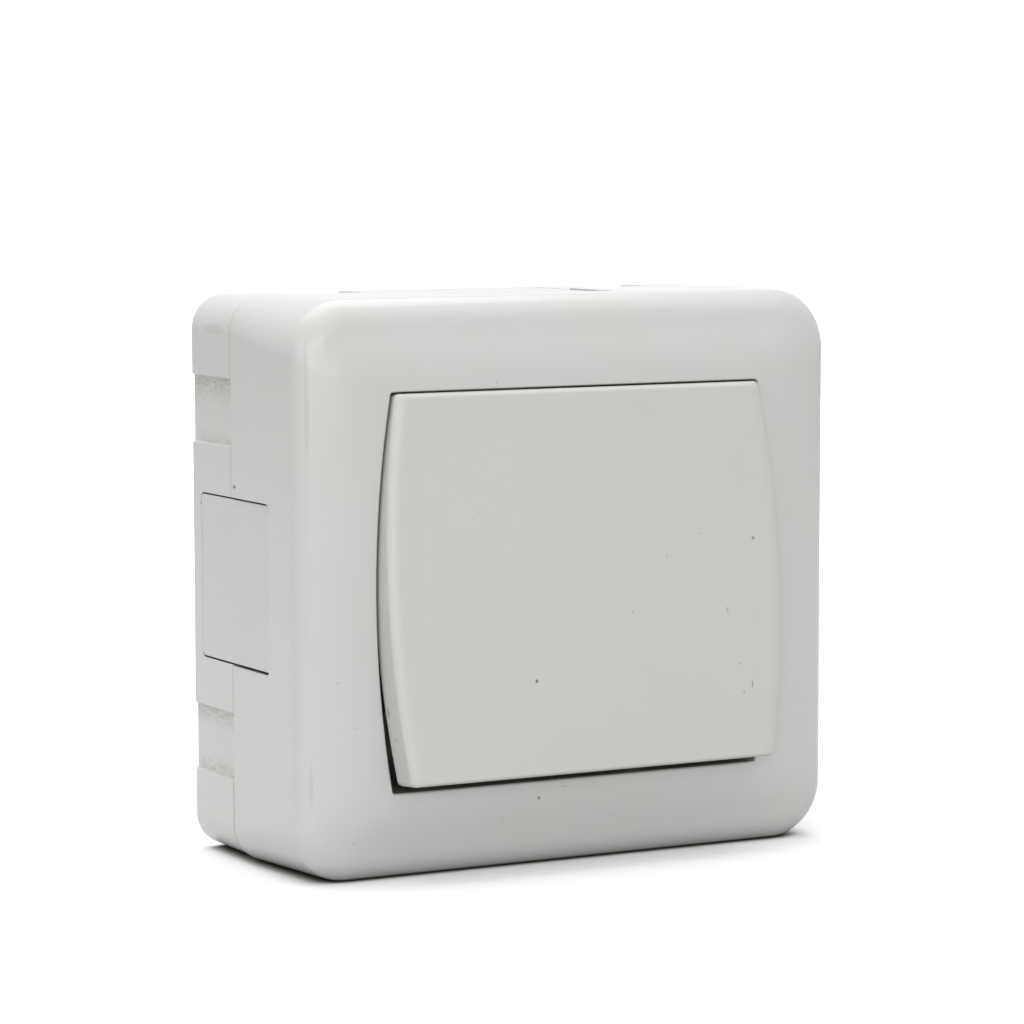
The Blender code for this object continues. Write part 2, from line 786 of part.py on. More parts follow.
def rocker_ribs():
    """Two crossing pairs of stiffening ribs under the face, round the cradle."""
    half_width, half_height = rocker_half_sizes()
    rear = ROCKER_PIVOT_BACK - ROCKER_FACE - ROCKER_RIB_HEIGHT
    front = ROCKER_PIVOT_BACK - ROCKER_FACE + OVERLAP
    across = half_width - ROCKER_WALL / 2
    up = half_height - ROCKER_WALL / 2
    ribs = []
    for side in (-1, 1):
        column = side * (half_width - RIB_INSET)
        row = side * (half_height - RIB_INSET)
        upright = bmesh.new()
        block(upright, (column - ROCKER_RIB / 2, column + ROCKER_RIB / 2), (-up, up), rear, front)
        level = bmesh.new()
        block(level, (-across, across), (row - ROCKER_RIB / 2, row + ROCKER_RIB / 2), rear, front)
        ribs += [upright, level]
    return ribs


def rocker_hooks():
    """Four hooks that reach round the cradle's plate."""
    hooks = bmesh.new()
    inner = CRADLE_WIDTH / 2 + SEAT_GAP
    outer = inner + HOOK_THICKNESS
    front = ROCKER_PIVOT_BACK - ROCKER_FACE + OVERLAP
    catch = CRADLE_REAR - SEAT_GAP
    rear = catch - HOOK_BARB_LENGTH
    barb = inner - HOOK_BARB
    profile = [(outer, front), (inner, front), (inner, catch), (barb, catch), (inner, rear), (outer, rear)]
    for side in (-1, 1):
        for middle in (-HOOK_SPACING / 2, HOOK_SPACING / 2):
            ends = (middle - HOOK_WIDTH / 2, middle + HOOK_WIDTH / 2)
            rings = [[Vector((side * x, -depth, z)) for x, depth in profile] for z in ends]
            loft(hooks, rings)
    return hooks


def rocker(parent):
    """The operating button, with its ribs and hooks."""
    button = placed("rocker", rocker_tray(), rocker_plastic(), parent)
    for i, rib in enumerate(rocker_ribs()):
        fuse(button, f"rocker_rib_{i}", rib)
    fuse(button, "rocker_hooks", rocker_hooks())
    return button


def arm_profile():
    """A cradle arm's (depth, z) outline, round about the pivot."""
    half = ARM_WIDTH / 2
    front = CRADLE_REAR + OVERLAP
    tip = arc((0.0, 0.0), half, math.pi / 2, 3 * math.pi / 2, ROUND_STEPS // 2)
    return [(front, half)] + tip + [(front, -half)]


def cradle_arms():
    """The two arms that reach back to the pivot."""
    arms = bmesh.new()
    outer = CHEEK_SPACING / 2 - SEAT_GAP
    for side in (-1, 1):
        ends = sorted((side * (outer - ARM_THICKNESS), side * outer))
        side_plate(arms, arm_profile(), *ends)
    return arms


def pivot_pins():
    """The two pins that turn in the cheeks' eyes."""
    pins = bmesh.new()
    inner = CHEEK_SPACING / 2 - SEAT_GAP - OVERLAP
    outer = CHEEK_SPACING / 2 + CHEEK_THICKNESS
    for side in (-1, 1):
        ends = sorted((side * inner, side * outer))
        side_plate(pins, circle((0.0, 0.0), PIN_RADIUS, SMALL_ROUND_STEPS), *ends)
    return pins


def rocker_cradle(parent):
    """The carrier under the button, with its arms, pins and plunger tube."""
    plate = bmesh.new()
    outline = rounded_rectangle(CRADLE_WIDTH / 2, CRADLE_HEIGHT / 2, CRADLE_CORNER, CORNER_STEPS // 2)
    prism(plate, outline, CRADLE_REAR, CRADLE_FRONT)
    cradle = placed("rocker_cradle", plate, cradle_plastic(), parent)
    fuse(cradle, "cradle_arms", cradle_arms())
    fuse(cradle, "pivot_pins", pivot_pins())
    guide = bmesh.new()
    outer = TUBE_BORE + TUBE_WALL
    turned(guide, [(outer, CRADLE_REAR + OVERLAP), (outer, -TUBE_REACH)])
    fuse(cradle, "plunger_tube", guide)
    bore = bmesh.new()
    turned(bore, [(TUBE_BORE, CRADLE_REAR - TUBE_CAP), (TUBE_BORE, -TUBE_REACH - OVERLAP)])
    cut(cradle, "plunger_bore", bore)
    return cradle


def plunger(parent):
    """The sliding nose: a plain guide, a cone and a round tip."""
    tip = LEVER_PIVOT_BACK - LEVER_FACE - PLUNGER_SWING_GAP
    centre = tip - PLUNGER_TIP_RADIUS
    steps = ROUND_STEPS // 8
    profile = [(PLUNGER_RADIUS, -PLUNGER_TAIL), (PLUNGER_RADIUS, -PLUNGER_SHOULDER)]
    for i in range(steps):
        turn = math.pi / 2 * i / steps
        profile.append((PLUNGER_TIP_RADIUS * math.cos(turn), -centre - PLUNGER_TIP_RADIUS * math.sin(turn)))
    nose = bmesh.new()
    turned(nose, profile)
    return placed("plunger", nose, plunger_plastic(), parent)


def plunger_spring(parent):
    """A coil spring between the tube's closed end and the plunger."""
    start = CRADLE_REAR - TUBE_CAP - SEAT_GAP - SPRING_WIRE
    end = -PLUNGER_TAIL + SEAT_GAP + SPRING_WIRE
    count = SPRING_TURNS * SPRING_TURN_STEPS
    wire = bpy.data.curves.new("plunger_spring", "CURVE")
    wire.dimensions = "3D"
    wire.bevel_depth = SPRING_WIRE
    wire.bevel_resolution = 2
    wire.use_fill_caps = True
    coil = wire.splines.new("POLY")
    coil.points.add(count)
    for i in range(count + 1):
        turn = 2 * math.pi * i / SPRING_TURN_STEPS
        depth = start + (end - start) * i / count
        point = (SPRING_RADIUS * math.cos(turn), -depth, SPRING_RADIUS * math.sin(turn), 1.0)
        coil.points[i].co = point
    wire.materials.append(spring_steel())
    spring = bpy.data.objects.new("plunger_spring", wire)
    bpy.context.scene.collection.objects.link(spring)
    spring.parent = parent
    return spring


def cheek_profile():
    """A pivot cheek's (depth, z) outline: a broad foot that narrows to a round eye."""
    half = CHEEK_FOOT / 2
    foot = HOUSING_FRONT - OVERLAP
    top = arc((ROCKER_PIVOT_DEPTH, 0.0), CHEEK_EYE, math.pi / 2, -math.pi / 2, ROUND_STEPS // 2)
    return [(foot, half)] + top + [(foot, -half)]


def housing_block():
    """The module's outer block with round corners."""
    shape = bmesh.new()
    outline = rounded_rectangle(HOUSING_WIDTH / 2, HOUSING_HEIGHT / 2, HOUSING_CORNER, CORNER_STEPS // 2)
    prism(shape, outline, HOUSING_REAR, HOUSING_FRONT)
    return shape


def housing_pockets():
    """The lever's chamber, the terminals' pockets and the coring at the corners."""
    pockets = bmesh.new()
    front = HOUSING_FRONT + OVERLAP
    chamber_x = CHAMBER_WIDTH / 2
    chamber_z = CHAMBER_HEIGHT / 2
    block(pockets, (-chamber_x, chamber_x), (-chamber_z, chamber_z), CHAMBER_FLOOR, front)
    half = POCKET_WIDTH / 2
    near = chamber_z + HOUSING_WALL
    far = HOUSING_HEIGHT / 2 + OVERLAP
    block(pockets, (-half, half), (near, far), CHAMBER_FLOOR, front)
    block(pockets, (-half, half), (-far, -near), CHAMBER_FLOOR, front)
    side_near = chamber_x + HOUSING_WALL
    side_far = HOUSING_WIDTH / 2 + OVERLAP
    block(pockets, (side_near, side_far), (-half, half), CHAMBER_FLOOR, front)
    core_x = (side_near, HOUSING_WIDTH / 2 - CORING_WALL)
    core_z = (CHEEK_FOOT / 2 + CORING_WALL / 2, HOUSING_HEIGHT / 2 - CORING_WALL)
    for side_x in (-1, 1):
        for side_z in (-1, 1):
            across = sorted(side_x * x for x in core_x)
            up = sorted(side_z * z for z in core_z)
            block(pockets, across, up, CHAMBER_FLOOR, front)
    return pockets


def strip_passages():
    """The slots through the chamber's walls that let the strips out."""
    slots = bmesh.new()
    half = STRIP_WIDTH / 2 + SEAT_GAP
    front = STRIP_DEPTH + STRIP_THICKNESS + SEAT_GAP
    inner = CHAMBER_HEIGHT / 2 - OVERLAP
    outer = CHAMBER_HEIGHT / 2 + HOUSING_WALL + OVERLAP
    block(slots, (-half, half), (inner, outer), CHAMBER_FLOOR, front)
    block(slots, (-half, half), (-outer, -inner), CHAMBER_FLOOR, front)
    across = (CHAMBER_WIDTH / 2 - OVERLAP, CHAMBER_WIDTH / 2 + HOUSING_WALL + OVERLAP)
    block(slots, across, (-half, half), CHAMBER_FLOOR, front)
    return slots


def mechanism_housing():
    """The switch module's moulding, with ears, chamber, pockets and pivot cheeks."""
    housing = placed("mechanism_housing", housing_block(), housing_plastic())
    ears = bmesh.new()
    length = 2 * POST_CENTRE + EAR_WIDTH
    prism(ears, stadium((0.0, 0.0), length, EAR_WIDTH), HOUSING_REAR, HOUSING_REAR + EAR_THICKNESS)
    fuse(housing, "fixing_ears", ears)
    cut(housing, "housing_pockets", housing_pockets())
    cut(housing, "strip_passages", strip_passages())
    cheeks = bmesh.new()
    inner = CHEEK_SPACING / 2
    outer = inner + CHEEK_THICKNESS
    for side in (-1, 1):
        side_plate(cheeks, cheek_profile(), *sorted((side * inner, side * outer)))
    fuse(housing, "pivot_cheeks", cheeks)
    eyes = bmesh.new()
    eye = circle((ROCKER_PIVOT_DEPTH, 0.0), PIN_RADIUS + RUNNING_GAP, SMALL_ROUND_STEPS)
    for side in (-1, 1):
        side_plate(eyes, eye, *sorted((side * (inner - OVERLAP), side * (outer + OVERLAP))))
    cut(housing, "pivot_eyes", eyes)
    holes = bmesh.new()
    bore = FIXING_SHANK_RADIUS + SEAT_GAP
    for side in (-1, 1):
        ends = [(bore, HOUSING_REAR - OVERLAP), (bore, HOUSING_REAR + EAR_THICKNESS + OVERLAP)]
        turned(holes, ends, (side * POST_CENTRE, 0.0))
    cut(housing, "ear_holes", holes)
    return housing


def slotted_screw(name, centre, seat, shank, sizes, finish):
    """A round-headed screw with a straight slot, its head's underside at the seat's depth."""
    head_radius, head_height, shank_radius = sizes
    top = seat + head_height
    profile = [
        (shank_radius, seat - shank),
        (shank_radius, seat),
        (head_radius, seat),
        (head_radius, top - HEAD_EDGE),
        (head_radius - HEAD_EDGE, top),
    ]
    body = bmesh.new()
    turned(body, profile, centre, SMALL_ROUND_STEPS)
    screw = placed(name, body, finish)
    slot = bmesh.new()
    half = SCREW_SLOT_WIDTH / 2
    reach = head_radius + OVERLAP
    across = (centre[0] - reach, centre[0] + reach)
    up = (centre[1] - half, centre[1] + half)
    block(slot, across, up, top - SCREW_SLOT_DEPTH, top + OVERLAP)
    cut(screw, name + "_slot", slot)
    return screw


def fixing_screws():
    """The two screws that hold the module's ears to the base's posts."""
    finish = zinc_steel()
    seat = HOUSING_REAR + EAR_THICKNESS + SEAT_GAP
    shank = seat - BASE_PLATE - POST_FLOOR - SEAT_GAP
    sizes = (FIXING_HEAD_RADIUS, FIXING_HEAD_HEIGHT, FIXING_SHANK_RADIUS)
    for name, side in (("fixing_screw_left", -1), ("fixing_screw_right", 1)):
        slotted_screw(name, (side * POST_CENTRE, 0.0), seat, shank, sizes, finish)


def contact_rivet(name, centre, base, head, shank, finish, parent=None):
    """A domed rivet: its head stands off the base depth, forward if positive, over its shank."""
    facing = math.copysign(1.0, head)
    profile = [
        (CONTACT_SHANK_RADIUS, base - facing * shank),
        (CONTACT_SHANK_RADIUS, base),
        (CONTACT_RADIUS, base),
        (CONTACT_RADIUS, base + head - facing * CONTACT_DOME),
        (CONTACT_RADIUS / 2, base + head),
    ]
    body = bmesh.new()
    turned(body, profile, centre, SMALL_ROUND_STEPS)
    return placed(name, body, finish, parent)


def rivet_hole(mesh_maker, centre, rear, front):
    """A rivet's hole through a strip."""
    bore = CONTACT_SHANK_RADIUS + SEAT_GAP
    turned(mesh_maker, [(bore, rear), (bore, front)], centre, SMALL_ROUND_STEPS)


def lever_outline():
    """The lever's (x, z) outline: a broad hub with two narrower arms."""
    hub_x = LEVER_WIDTH / 2
    arm_x = LEVER_ARM_WIDTH / 2
    hub_z = LEVER_HUB_LENGTH / 2
    end_z = LEVER_LENGTH / 2
    quarter = [(hub_x, 0.0), (hub_x, hub_z), (arm_x, hub_z + (hub_x - arm_x)), (arm_x, end_z)]
    top = quarter + [(-x, z) for x, z in reversed(quarter)]
    return top + [(-x, -z) for x, z in top[1:-1]]


def contact_lever(parent):
    """The tipping strip with its bearing stubs and rivet holes."""
    strip = bmesh.new()
    rear = LEVER_FACE - LEVER_THICKNESS
    prism(strip, lever_outline(), rear, LEVER_FACE)
    lever = placed("contact_lever", strip, contact_copper(), parent)
    stubs = bmesh.new()
    inner = LEVER_WIDTH / 2 - OVERLAP
    outer = LEVER_WIDTH / 2 + SEAT_GAP + BEARING_THICKNESS
    for side in (-1, 1):
        ends = sorted((side * inner, side * outer))
        side_plate(stubs, circle((0.0, 0.0), STUB_RADIUS, SMALL_ROUND_STEPS), *ends)
    fuse(lever, "lever_stubs", stubs)
    holes = bmesh.new()
    for side in (-1, 1):
        rivet_hole(holes, (0.0, side * CONTACT_SPACING / 2), rear - OVERLAP, LEVER_FACE + OVERLAP)
    cut(lever, "lever_rivet_holes", holes)
    return lever


def moving_contacts(parent, finish):
    """The lever's two rivets, their domes facing the wall."""
    base = LEVER_FACE - LEVER_THICKNESS - SEAM_GAP
    for name, side in (("moving_contact_upper", 1), ("moving_contact_lower", -1)):
        centre = (0.0, side * CONTACT_SPACING / 2)
        contact_rivet(name, centre, base, -CONTACT_HEAD, LEVER_THICKNESS, finish, parent)


def closed_contact_depth():
    """How far forward of the wall a moving dome's top stands when its side is closed."""
    dome = LEVER_THICKNESS - LEVER_FACE + SEAM_GAP + CONTACT_HEAD
    swing = CONTACT_SPACING / 2 * math.sin(LEVER_TILT)
    return LEVER_PIVOT_DEPTH - dome * math.cos(LEVER_TILT) - swing


def block_outline(centre, long_way_x):
    """A clamping block's outline round its screw."""
    across = BLOCK_LENGTH / 2 if long_way_x else BLOCK_WIDTH / 2
    up = BLOCK_WIDTH / 2 if long_way_x else BLOCK_LENGTH / 2
    return (centre[0] - across, centre[0] + across), (centre[1] - up, centre[1] + up)


def terminal_screw_hole(terminal, name, centre):
    """The threaded hole of a clamping block, left plain."""
    hole = bmesh.new()
    bore = TERMINAL_SHANK_RADIUS + SEAT_GAP
    ends = [(bore, STRIP_DEPTH - OVERLAP), (bore, STRIP_DEPTH + BLOCK_DEPTH + OVERLAP)]
    turned(hole, ends, centre, SMALL_ROUND_STEPS)
    cut(terminal, name + "_screw_hole", hole)


def end_block_centre(side):
    """The middle of the upper (1) or lower (-1) terminal's block."""
    return (0.0, side * (HOUSING_HEIGHT / 2 - BLOCK_SET_BACK - BLOCK_LENGTH / 2))


def common_block_centre():
    """The middle of the common terminal's block."""
    return (HOUSING_WIDTH / 2 - BLOCK_SET_BACK - BLOCK_LENGTH / 2, 0.0)


def switched_terminal(name, side, finish):
    """A strip under a fixed contact, running out to its clamping block."""
    centre = end_block_centre(side)
    half = STRIP_WIDTH / 2
    up = sorted((side * STRIP_INNER_END, centre[1]))
    strip = bmesh.new()
    block(strip, (-half, half), up, STRIP_DEPTH, STRIP_DEPTH + STRIP_THICKNESS)
    terminal = placed(name, strip, finish)
    head = bmesh.new()
    block(head, *block_outline(centre, False), STRIP_DEPTH, STRIP_DEPTH + BLOCK_DEPTH)
    fuse(terminal, name + "_block", head)
    terminal_screw_hole(terminal, name, centre)
    hole = bmesh.new()
    at = (0.0, side * CONTACT_SPACING / 2)
    rivet_hole(hole, at, STRIP_DEPTH - OVERLAP, STRIP_DEPTH + STRIP_THICKNESS + OVERLAP)
    cut(terminal, name + "_rivet_hole", hole)
    return terminal


def bearing_profile():
    """A bearing ear's (depth, z) outline with its open notch for a stub."""
    half = BEARING_WIDTH / 2
    notch = STUB_RADIUS + RUNNING_GAP
    foot = STRIP_DEPTH + STRIP_THICKNESS - OVERLAP
    top = LEVER_PIVOT_DEPTH + STUB_RADIUS
    seat = arc((LEVER_PIVOT_DEPTH, 0.0), notch, math.pi / 2, 3 * math.pi / 2, SMALL_ROUND_STEPS // 2)
    return [(foot, half), (top, half), (top, notch)] + seat + [(top, -notch), (top, -half), (foot, -half)]


def common_terminal(finish):
    """The strip that bears the lever, running out to its clamping block."""
    centre = common_block_centre()
    half = STRIP_WIDTH / 2
    inner = LEVER_WIDTH / 2 + SEAT_GAP
    outer = inner + BEARING_THICKNESS
    strip = bmesh.new()
    block(strip, (-outer, centre[0]), (-half, half), STRIP_DEPTH, STRIP_DEPTH + STRIP_THICKNESS)
    terminal = placed("common_terminal", strip, finish)
    ears = bmesh.new()
    for side in (-1, 1):
        side_plate(ears, bearing_profile(), *sorted((side * inner, side * outer)))
    fuse(terminal, "bearing_ears", ears)
    head = bmesh.new()
    block(head, *block_outline(centre, True), STRIP_DEPTH, STRIP_DEPTH + BLOCK_DEPTH)
    fuse(terminal, "common_terminal_block", head)
    terminal_screw_hole(terminal, "common_terminal", centre)
    return terminal


def clamp_plate(name, centre, long_way_x, finish):
    """The square washer that presses a wire onto its block."""
    across = CLAMP_LENGTH / 2 if long_way_x else CLAMP_WIDTH / 2
    up = CLAMP_WIDTH / 2 if long_way_x else CLAMP_LENGTH / 2
    rear = STRIP_DEPTH + BLOCK_DEPTH + SEAT_GAP
    shape = bmesh.new()
    sides = (centre[0] - across, centre[0] + across), (centre[1] - up, centre[1] + up)
    block(shape, *sides, rear, rear + CLAMP_THICKNESS)
    plate = placed(name, shape, finish)
    hole = bmesh.new()
    bore = TERMINAL_SHANK_RADIUS + SEAT_GAP
    ends = [(bore, rear - OVERLAP), (bore, rear + CLAMP_THICKNESS + OVERLAP)]
    turned(hole, ends, centre, SMALL_ROUND_STEPS)
    cut(plate, name + "_hole", hole)
    return plate


def terminals():
    """The three terminals with their plates, screws and fixed contacts."""
    brass = terminal_brass()
    steel = zinc_steel()
    silver = contact_silver()
    common_terminal(brass)
    places = [("common", common_block_centre(), True)]
    for word, side in (("upper", 1), ("lower", -1)):
        switched_terminal(word + "_terminal", side, brass)
        places.append((word, end_block_centre(side), False))
        base = STRIP_DEPTH + STRIP_THICKNESS + SEAM_GAP
        head = closed_contact_depth() - SEAT_GAP - base
        at = (0.0, side * CONTACT_SPACING / 2)
        contact_rivet("fixed_contact_" + word, at, base, head, base - STRIP_DEPTH, silver)
    seat = STRIP_DEPTH + BLOCK_DEPTH + SEAT_GAP + CLAMP_THICKNESS + SEAT_GAP
    shank = seat - STRIP_DEPTH
    sizes = (TERMINAL_HEAD_RADIUS, TERMINAL_HEAD_HEIGHT, TERMINAL_SHANK_RADIUS)
    for word, centre, long_way_x in places:
        clamp_plate("clamp_plate_" + word, centre, long_way_x, steel)
        slotted_screw("terminal_screw_" + word, centre, seat, shank, sizes, steel)


def main():
    clear_scene()
    mounting_base()
    front_cover()
    entry_finish = entry_plastic()
    for side, angle, reach in entry_sides():
        cable_entry("cable_entry_" + side, angle, reach, entry_finish)
    mechanism_housing()
    fixing_screws()
    terminals()
    rocker_pivot = pivot("rocker_pivot", ROCKER_PIVOT_DEPTH, -ROCKER_TILT)
    rocker(rocker_pivot)
    rocker_cradle(rocker_pivot)
    plunger(rocker_pivot)
    plunger_spring(rocker_pivot)
    lever_pivot = pivot("lever_pivot", LEVER_PIVOT_DEPTH, LEVER_TILT)
    contact_lever(lever_pivot)
    moving_contacts(lever_pivot, contact_silver())


main()
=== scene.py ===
"""Dresses the surface-mounted light switch: finer shells, finishes, marks of use, floor, lamps, camera.

Metres, +Z up. The origin is the centre of the rear face that lies on the wall, and the front looks
along -Y. A depth is a distance forward of that face. An inset is a distance inward of the base's sides.
"""

import math

import bmesh
import bpy
from bpy.props import FloatProperty, FloatVectorProperty, PointerProperty
from mathutils import Matrix, Vector


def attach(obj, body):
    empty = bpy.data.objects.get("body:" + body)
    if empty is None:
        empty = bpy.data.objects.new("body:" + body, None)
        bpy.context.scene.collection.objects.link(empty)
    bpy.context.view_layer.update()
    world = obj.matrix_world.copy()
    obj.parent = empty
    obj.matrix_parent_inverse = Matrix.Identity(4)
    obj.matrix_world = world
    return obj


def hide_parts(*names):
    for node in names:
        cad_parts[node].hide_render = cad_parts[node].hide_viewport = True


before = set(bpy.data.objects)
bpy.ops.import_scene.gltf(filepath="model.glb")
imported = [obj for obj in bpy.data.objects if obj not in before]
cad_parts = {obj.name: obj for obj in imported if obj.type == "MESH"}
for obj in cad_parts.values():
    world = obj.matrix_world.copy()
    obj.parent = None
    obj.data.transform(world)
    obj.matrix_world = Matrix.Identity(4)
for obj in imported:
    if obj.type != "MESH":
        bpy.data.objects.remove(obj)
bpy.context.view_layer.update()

bl_info = {
    "name": "Surface Light Switch",
    "version": (1, 0, 0),
    "blender": (4, 5, 0),
    "location": "View3D > Sidebar > Light Switch",
    "description": "Shells, finishes and studio for a surface-mounted rocker light switch",
    "category": "Add Mesh",
}

# Enclosure
BASE_WIDTH = 0.0865
BASE_HEIGHT = 0.0815
BASE_DEPTH = 0.0142
FRONT_DEPTH = 0.0387
REAR_CORNER = 0.0051
FRONT_CORNER = 0.0085
COVER_OVERHANG = 0.00025
SEAM_GAP = 0.0002

# Front cover
COVER_WALL = 0.0018
EDGE_RADIUS = 0.0035
EDGE_STRETCH = 1.5
CROWN_RADIUS = 0.0360
CROWN_STOP = 0.0023
COLLAR_DEPTH = 0.0065
COLLAR_WALL = 0.0012
OPENING_WIDTH = 0.0598
OPENING_HEIGHT = 0.0565
OPENING_BOW = 0.0024
OPENING_CORNER = 0.0004
OPENING_DROP = 0.0002
LATCH_CENTRE = 0.0242
CATCH_WIDTH = 0.0082
CATCH_FRONT = 0.0199
CATCH_LENGTH = 0.0015
CATCH_REACH = 0.0009
COVER_INNER_INSET = COVER_WALL - COVER_OVERHANG
COVER_REACH = (BASE_HEIGHT - OPENING_HEIGHT) / 2 + COVER_OVERHANG

# Cable entries
ENTRY_WIDTH = 0.0238
ENTRY_REAR = 0.0035
ENTRY_FRONT = 0.0266
ENTRY_GAP = 0.0002
ENTRY_CORNER = 0.0006
ENTRY_ROUND = 0.0002
ENTRY_REAR_CLOSER = 0.00014
NOTCH_REACH = 0.0060
NOTCH_SLACK = 0.0001

# Each cable entry's name, its turn about Y from the left side, and its side's reach
ENTRY_SIDES = [
    ("left", 0.0, BASE_WIDTH / 2),
    ("top", math.pi / 2, BASE_HEIGHT / 2),
    ("right", math.pi, BASE_WIDTH / 2),
    ("bottom", -math.pi / 2, BASE_HEIGHT / 2),
]

# Rocker
ROCKER_TILT = math.radians(5.05)
ROCKER_PIVOT_BACK = 0.0080
ROCKER_PIVOT_DEPTH = 0.0333
ROCKER_SIDE_GAP = 0.00022
ROCKER_PLAY = 0.00010
ROCKER_TOP = 0.02728
ROCKER_FOOT = 0.02765
ROCKER_RISE = 0.00085
ROCKER_SKIRT = 0.0043
ROCKER_FACE = 0.0020
ROCKER_WALL = 0.0015
ROCKER_CORNER = 0.0009
ROCKER_SIDE_ROUND = 0.0019
ROCKER_TOP_ROUND = 0.0008
ROCKER_FOOT_ROUND = 0.0005
ROCKER_ROUND_DEPTH = 0.0009
ROCKER_RIB = 0.0010
ROCKER_RIB_HEIGHT = 0.0014
RIB_INSET = 0.0085
RIM_ROUND = 0.00018
HOOK_INNER = 0.0163
HOOK_THICKNESS = 0.0013
HOOK_WIDTH = 0.0050
HOOK_LENGTH = 0.0033
HOOK_BARB = 0.0010
HOOK_BARB_LENGTH = 0.0009
HOOK_SPACING = 0.0200

# Fineness of the drawn sections
CORNER_CUTS = 12
SIDE_CUTS = 15
END_CUTS = 11
EDGE_STEPS = 10
CROWN_STEPS = 7
LIP_STEPS = 4
ROUND_STEPS = 7
SMOOTH_ANGLE = math.radians(32)
SHARP_ANGLE = math.radians(40)
FLAT_ANGLE = math.radians(0.3)
MERGE_REACH = 0.000001
ON_LINE = 0.00002
SEAM_BAND = 0.0016
OVERLAP = 0.0004

# Camera
CAMERA_AIM = (0.0, -0.020, 0.0)
CAMERA_DISTANCE = 0.566192
CAMERA_YAW = math.radians(-28.4754)
CAMERA_PITCH = math.radians(6.3919)
CAMERA_ROLL = math.radians(-0.1068)
CAMERA_LENS = 134.799
CAMERA_SHIFT = (-0.004777, 0.055503)
CAMERA_SENSOR = 36.0
CAMERA_CLIP = 0.01

# Lamps: name, place, size and the studio setting that holds the power
LAMPS = [
    ("overhead_lamp", (0.05, -0.25, 0.95), 1.1, "overhead_power"),
    ("rear_lamp", (0.0, 0.30, 0.95), 1.1, "rear_power"),
    ("front_lamp", (-0.50, -1.40, 0.15), 1.2, "front_power"),
    ("side_lamp", (-1.30, -0.35, 0.25), 1.0, "side_power"),
]

# Paper under and behind the switch: how its white rises with the distance
FLOOR_LEVEL = -0.0410
PAPER_SIZE = 6.0
PAPER_NEAR = 0.09
PAPER_FAR = 0.60
PAPER_RISE = 3.0
PAPER_GRAIN = (900.0, 3.0)
PAPER_TONES = (0.49, 0.51)
WHITE = (1.0, 1.0, 1.0, 1.0)

# Shadow on the paper close to the switch
CONTACT_REACH = 0.0025
CONTACT_DARK = 0.07
CONTACT_CLEAR = 0.46
CONTACT_BOUNCE = 0.35
SHADOW_WARMTH = 0.12

# Paler band of the paper at the left, in bounced light: the x values where it rises and ends
STRIP_RISE_X = (-0.075, -0.058)
STRIP_END_X = (-0.043, -0.041)
STRIP_TONE = 0.16

# Faint unevenness of the plastics, in lumps per metre
RIPPLE_SCALE = 260.0
RIPPLE_HEIGHT = 0.00002
GRAIN_SCALE = 5200.0
GLOSS_PATCH_SCALE = 45.0
TONE_DRIFT_SCALE = 38.0
TONE_DRIFT = (0.985, 0.98, 0.955)
ENTRY_TONE = 0.985

# Painted shade, dark brown, in the narrow gaps between the mouldings
CREVICE_SHADE_REACH = 0.0006
CREVICE_SHADE_SHUT = 0.30
CREVICE_SHADE_OPEN = 0.62
CREVICE_SHADE_SHARE = 0.80
CREVICE_SHADE_COLOUR = (0.10, 0.09, 0.065, 1.0)

# Painted brown shade on the walls of the button's opening: where it fades out sideways, up and forwards
OPENING_WALL_SHADE_X = (0.0330, 0.0334)
OPENING_WALL_SHADE_Z = (0.0290, 0.0294)
OPENING_WALL_SHADE_Y = (-0.0385, -0.0378)
OPENING_WALL_SHADE_SHARE = 0.8
OPENING_WALL_SHADE_COLOUR = (0.36, 0.31, 0.21, 1.0)

# Dirt in the recesses on the base's sides: where it fades sideways and up, and its grain
RECESS_OUTER_X = (BASE_WIDTH / 2 - 0.0005, BASE_WIDTH / 2 - 0.0003)
RECESS_INNER_X = (BASE_WIDTH / 2 - 0.0010, BASE_WIDTH / 2 - 0.0008)
RECESS_FOOT_Z = (0.0190, 0.0194)
RECESS_TOP_Z = (0.0291, 0.0295)
RECESS_STRETCH = (1.0, 0.35, 1.0)
RECESS_PATCHES = (1700.0, 5.0, 0.7)
RECESS_GRAINS = (3600.0, 2.0, 0.5)

# Painted shade along the base's front edge at the seam, thicker in dashes of dirt low down
SEAM_SHADE_AND_DIRT_Y = (-0.0138, -0.0134)
SEAM_SHADE_SHARE = 0.30
SEAM_SHADE_AND_DIRT_COLOUR = (0.27, 0.26, 0.20, 1.0)
SEAM_DASHES = (900.0, 3.0)
SEAM_DASH_Z = (-0.0300, -0.0270)

# Dust specks and scratches, and on the cover two painted reflection lines: core and edge as shares of their
# reach, ragged outline, tints
MARK_CORE = 0.6
MARK_EDGE = 1.25
MARK_RAG_SCALE = 2600.0
MARK_RAG_REACH = 0.0003
COVER_DUST_AND_REFLECTION_TINT = (0.14, 0.13, 0.10)
BASE_MARK_TINT = (0.12, 0.11, 0.09)
BUTTON_MARK_TINT = (0.13, 0.12, 0.11)

# Finishes of the mechanism: colour where no setting holds it, roughness, and a metal's tarnish
HOUSING_ROUGHNESS = 0.45
CRADLE_PLASTIC = ((0.50, 0.50, 0.48), 0.42)
PLUNGER_NYLON = ((0.72, 0.70, 0.62), 0.38)
SPRING_STEEL = ((0.55, 0.55, 0.56), 0.28, (0.42, 0.41, 0.40))
LEVER_COPPER = ((0.74, 0.42, 0.28), 0.31, (0.48, 0.24, 0.15))
CONTACT_SILVER = ((0.80, 0.80, 0.78), 0.26, (0.55, 0.53, 0.50))
BRASS_FINISH = (0.30, (0.50, 0.36, 0.18))
STEEL_FINISH = (0.33, (0.50, 0.50, 0.50))
STEEL_PIECES = ("fixing_", "terminal_screw", "clamp_")
DRAWN_STRETCH = (9000.0, 900.0, 900.0)
TARNISH_SCALE = 420.0


